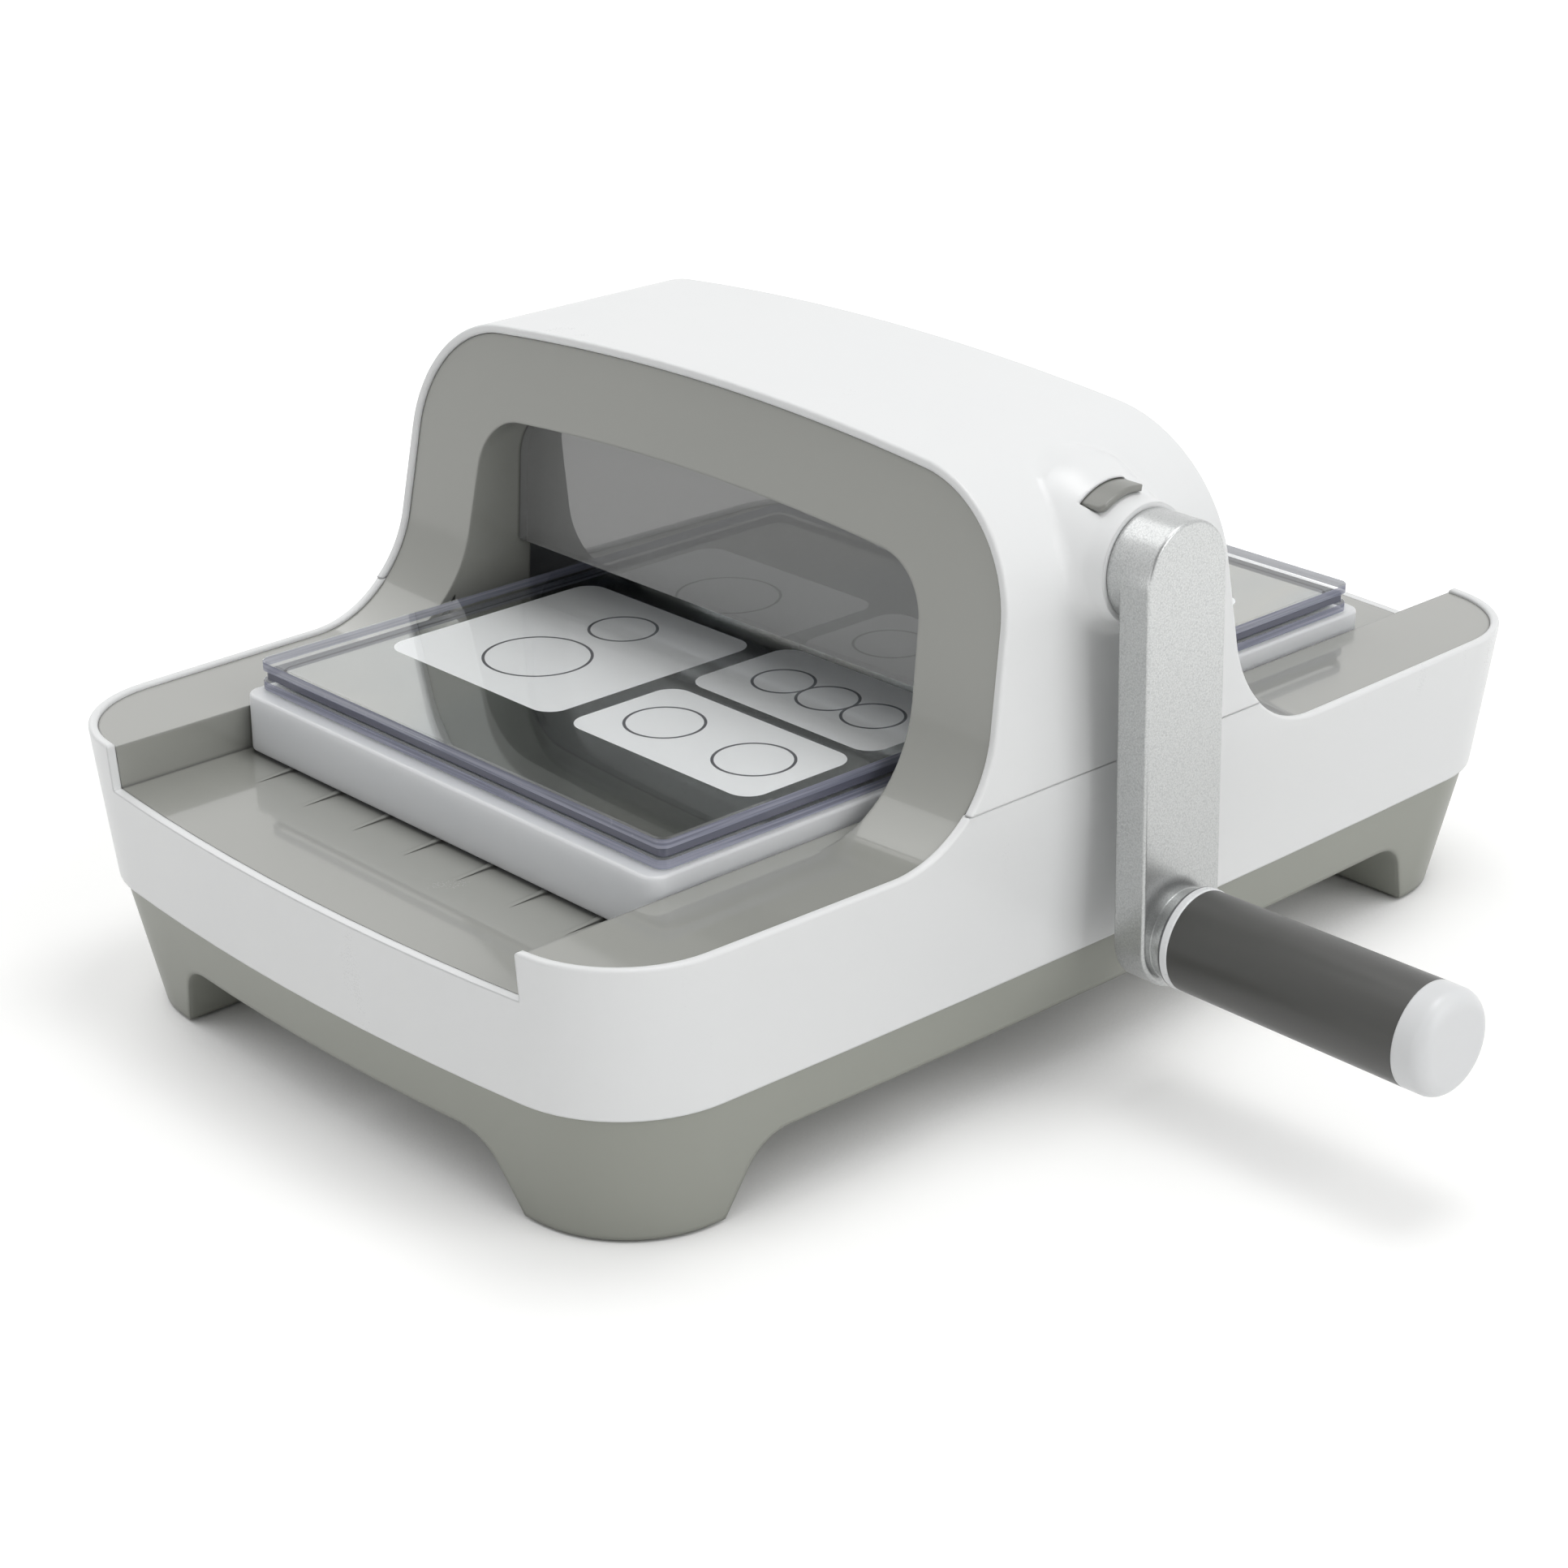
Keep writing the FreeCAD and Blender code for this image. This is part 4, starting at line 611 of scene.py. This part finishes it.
def repeat(name, template, places, finish, cross=None, tilt=(0, 0, 0)):
    # a plain mesh with the template at every place
    holder = linked(name + "Points", bpy.data.meshes.new(name + "Points"))
    holder.data.from_pydata(places, [], [])
    tree = repeatTree(name + "Tree", cross is not None)
    modifier = holder.modifiers.new("repeat", "NODES")
    modifier.node_group = tree
    long, wide, deep = cross or (0.0, 0.0, 0.0)
    wanted = {"Template": template, "Finish": finish.material, "Recess Long": long, "Recess Wide": wide,
              "Recess Deep": deep, "Tilt": tilt}
    for item in tree.interface.items_tree:
        if item.in_out == "INPUT" and item.name in wanted:
            modifier[item.identifier] = wanted[item.name]
    bpy.context.view_layer.update()
    graph = bpy.context.evaluated_depsgraph_get()
    mesh = bpy.data.meshes.new_from_object(holder.evaluated_get(graph))
    bpy.data.objects.remove(holder)
    bpy.data.objects.remove(template)
    mesh.name = name
    return linked(name, mesh)


def loosePlaces(node):
    # low and high corners of the loose solids of a node, in the order of its points
    work = merged(node)
    seen = set()
    islands = []
    for first in work.verts:
        if first in seen:
            continue
        seen.add(first)
        stack = [first]
        island = []
        while stack:
            vert = stack.pop()
            island.append(vert.co.copy())
            for edge in vert.link_edges:
                other = edge.other_vert(vert)
                if other not in seen:
                    seen.add(other)
                    stack.append(other)
        low = Vector(min(point[axis] for point in island) for axis in range(3))
        high = Vector(max(point[axis] for point in island) for axis in range(3))
        islands.append((low, high))
    work.free()
    return islands


# rubber feet with two moulded grooves: where each groove starts, is at its depth, and stops
footPad = {"radius": 0.008, "round": 0.0006, "groove": 0.0004,
           "grooves": ((0.0026, 0.0029, 0.0033, 0.0036), (0.0052, 0.0055, 0.0059, 0.0062))}


def footPads():
    islands = loosePlaces("foot_pads")
    tall = islands[0][1].z - islands[0][0].z
    radius = footPad["radius"]
    groove = footPad["groove"]
    profile = [(0, 0)]
    for begins, deepFrom, deepTo, stops in footPad["grooves"]:
        profile += [(begins, 0), (deepFrom, groove), (deepTo, groove), (stops, 0)]
    profile += [(radius - footPad["round"], 0), (radius, footPad["round"]), (radius, tall), (0, tall)]
    places = [((low.x + high.x) / 2, (low.y + high.y) / 2, low.z) for low, high in islands]
    piece = repeat("rubberFeet", lathe("footPadTemplate", profile), places, rubberFinish)
    seat(piece, "foot_pads")


# cross-head screws: the head's rim is given as (inwards, up), the recess as long, wide, deep
screwLook = {"headRadius": 0.004, "headTall": 0.0018, "headRim": ((0.0009, 0), (0.0003, 0.0003), (0, 0.0008)),
             "radius": 0.002, "point": 0.0008, "pointShare": 0.6, "recess": (0.0042, 0.0009, 0.0026), "steps": 28,
             "baseLong": 0.014, "tieLong": 0.0138}


def crossScrews(name, node, long, tilts):
    # one mesh for all screws of the node; each row of tilts has a test, the head's turn and the head's place
    head = screwLook["headRadius"]
    tall = screwLook["headTall"]
    thin = screwLook["radius"]
    profile = [(0, 0)] + [(head - inwards, up) for inwards, up in screwLook["headRim"]] + [
        (head, tall), (thin, tall), (thin, long - screwLook["point"]), (thin * screwLook["pointShare"], long),
        (0, long)]
    parts = []
    for number, (test, tilt, headAt) in enumerate(tilts):
        places = [headAt(low, high) for low, high in loosePlaces(node) if test(low, high)]
        template = lathe(name + "Template", profile, steps=screwLook["steps"])
        parts.append(repeat(f"{name}{number}", template, places, steelFinish, screwLook["recess"], tilt))
    whole = bmesh.new()
    for part in parts:
        whole.from_mesh(part.data)
        bpy.data.objects.remove(part)
    piece = linked(name, meshFrom(name, whole))
    dress(piece, steelFinish)
    seat(piece, node)


footPads()
crossScrews("baseScrews", "base_screws", screwLook["baseLong"], [
    (lambda low, high: True, (0, 0, 0), lambda low, high: ((low.x + high.x) / 2, (low.y + high.y) / 2, low.z))])
bodyMiddleX = (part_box("platform")[0][0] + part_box("platform")[1][0]) / 2
crossScrews("tieRodScrews", "tie_rod_screws", screwLook["tieLong"], [
    (lambda low, high: low.x < bodyMiddleX, (0, math.pi / 2, 0),
     lambda low, high: (low.x, (low.y + high.y) / 2, (low.z + high.z) / 2)),
    (lambda low, high: low.x >= bodyMiddleX, (0, -math.pi / 2, 0),
     lambda low, high: (high.x, (low.y + high.y) / 2, (low.z + high.z) / 2))])
print("feet and screws on")

# camera, fitted to the photograph: focal is in widths of the picture
cameraLook = {"place": (0.5520, -0.58062, 0.40017), "azimuth": 46.66, "elevation": 23.25, "focal": 4200.78 / 1932,
              "sensor": 36.0, "clip": 30.0}
cameraData = bpy.data.cameras.new("camera")
cameraData.sensor_width = cameraLook["sensor"]
cameraData.lens = cameraLook["sensor"] * cameraLook["focal"]
cameraData.clip_end = cameraLook["clip"]
camera = linked("camera", cameraData)
camera.location = cameraLook["place"]
camera.rotation_euler = (
    math.radians(90 - cameraLook["elevation"]), 0, math.radians(cameraLook["azimuth"]))
scene.camera = camera

# soft boxes: place, what they look at, size, power
lamps = {
    "overhead": {"place": (0.10, 0.12, 1.35), "at": (-0.05, 0.0, 0.08), "size": 0.5, "power": 5.8},
    "leftSide": {"place": (-1.15, 0.0, 1.05), "at": (-0.05, 0.0, 0.08), "size": 1.1, "power": 4.4},
    "rightSide": {"place": (1.3, 0.15, 0.8), "at": (0.0, 0.0, 0.08), "size": 1.0, "power": 7.7},
    "front": {"place": (0.1, -1.5, 0.4), "at": (-0.05, 0.0, 0.08), "size": 0.9, "power": 2.4},
}
for name, look in lamps.items():
    data = bpy.data.lights.new(name, "AREA")
    data.shape = "SQUARE"
    data.size = look["size"]
    data.energy = look["power"]
    lamp = linked(name, data)
    lamp.location = look["place"]
    lamp.rotation_euler = (Vector(look["at"]) - Vector(look["place"])).to_track_quat("-Z", "Y").to_euler()

# white room: plain white to the camera, softer as a light, and in reflections darker towards the photographer
worldLook = {"colour": (1, 1, 1, 1), "light": 0.43, "shown": 1.0, "dim": 0.28, "dimRamp": (-0.1, 0.7),
             "towards": (0.73, -0.69, 0.0)}
world = bpy.data.worlds.new("whiteRoom")
world.use_nodes = True
scene.world = world
roomNodes = world.node_tree.nodes
roomLinks = world.node_tree.links


def roomNode(kind, settings, inputs, out=0):
    made = roomNodes.new(kind)
    for key, value in settings.items():
        setattr(made, key, value)
    for key, value in inputs.items():
        if isinstance(value, bpy.types.NodeSocket):
            roomLinks.new(value, made.inputs[key])
        else:
            made.inputs[key].default_value = value
    return made.outputs[out]


rays = roomNodes.new("ShaderNodeLightPath").outputs
facing = roomNode(
    "ShaderNodeVectorMath", {"operation": "DOT_PRODUCT"},
    {0: roomNode("ShaderNodeTexCoord", {}, {}, "Generated"), 1: worldLook["towards"]}, "Value")
mirrored = roomNode("ShaderNodeMapRange", {"interpolation_type": "SMOOTHSTEP"}, {
    "Value": facing, "From Min": worldLook["dimRamp"][0], "From Max": worldLook["dimRamp"][1],
    "To Min": worldLook["shown"], "To Max": worldLook["dim"]})
level = worldLook["light"]
for ray, strength in (
        ("Is Glossy Ray", mirrored), ("Is Transmission Ray", worldLook["shown"]),
        ("Is Camera Ray", worldLook["shown"])):
    level = roomNode("ShaderNodeMix", {"data_type": "FLOAT"}, {0: rays[ray], 2: level, 3: strength})
roomLinks.new(level, roomNodes["Background"].inputs["Strength"])
roomNodes["Background"].inputs["Color"].default_value = worldLook["colour"]

# floor: it takes the real shadows, and to the camera it glows, a painted brightening up to white; where something
# stands close over it the glow is held back, a painted contact shadow
floorLook = {"half": 8.0, "bounce": (0.86, 0.86, 0.855), "shown": (0.62, 0.62, 0.61), "rough": 0.9, "level": 0.0,
             "dark": (0.0, 0.0, 0.0), "near": (0.46, 0.46, 0.46), "far": (0.85, 0.85, 0.85),
             "awayRamp": (0.24, 0.45), "reach": 0.06, "freeRamp": (0.15, 0.55), "glowPower": 1.0}
floorMesh = bpy.data.meshes.new("floor")
half = floorLook["half"]
floorMesh.from_pydata([(-half, -half, 0), (half, -half, 0), (half, half, 0), (-half, half, 0)], [], [(0, 1, 2, 3)])
floor = linked("floor", floorMesh)
floorFinish = Finish("paleFloor")
shown = 0.0
for ray in ("Is Camera Ray", "Is Glossy Ray", "Is Transmission Ray"):
    shown = floorFinish.node("ShaderNodeLightPath", out=ray).atLeast(shown)
# the painted brightening is weaker near the machine and full far away
away = distance(*floorFinish.axes()[:2]).ramp(*floorLook["awayRamp"])
lift = floorFinish.mix(away, floorLook["near"], floorLook["far"])
# painted contact shadow: ambient occlusion holds back the glow under and beside the machine
free = floorFinish.free(samples["floor"], floorLook["reach"]).ramp(*floorLook["freeRamp"])
floorFinish.set(
    colour=floorFinish.mix(shown, floorLook["bounce"], floorLook["shown"]), roughness=floorLook["rough"],
    level=floorLook["level"], glow=floorFinish.mix(shown * free, floorLook["dark"], lift),
    glowPower=floorLook["glowPower"])
dress(floor, floorFinish)
print("stage set")

scene.view_settings.view_transform = "Standard"
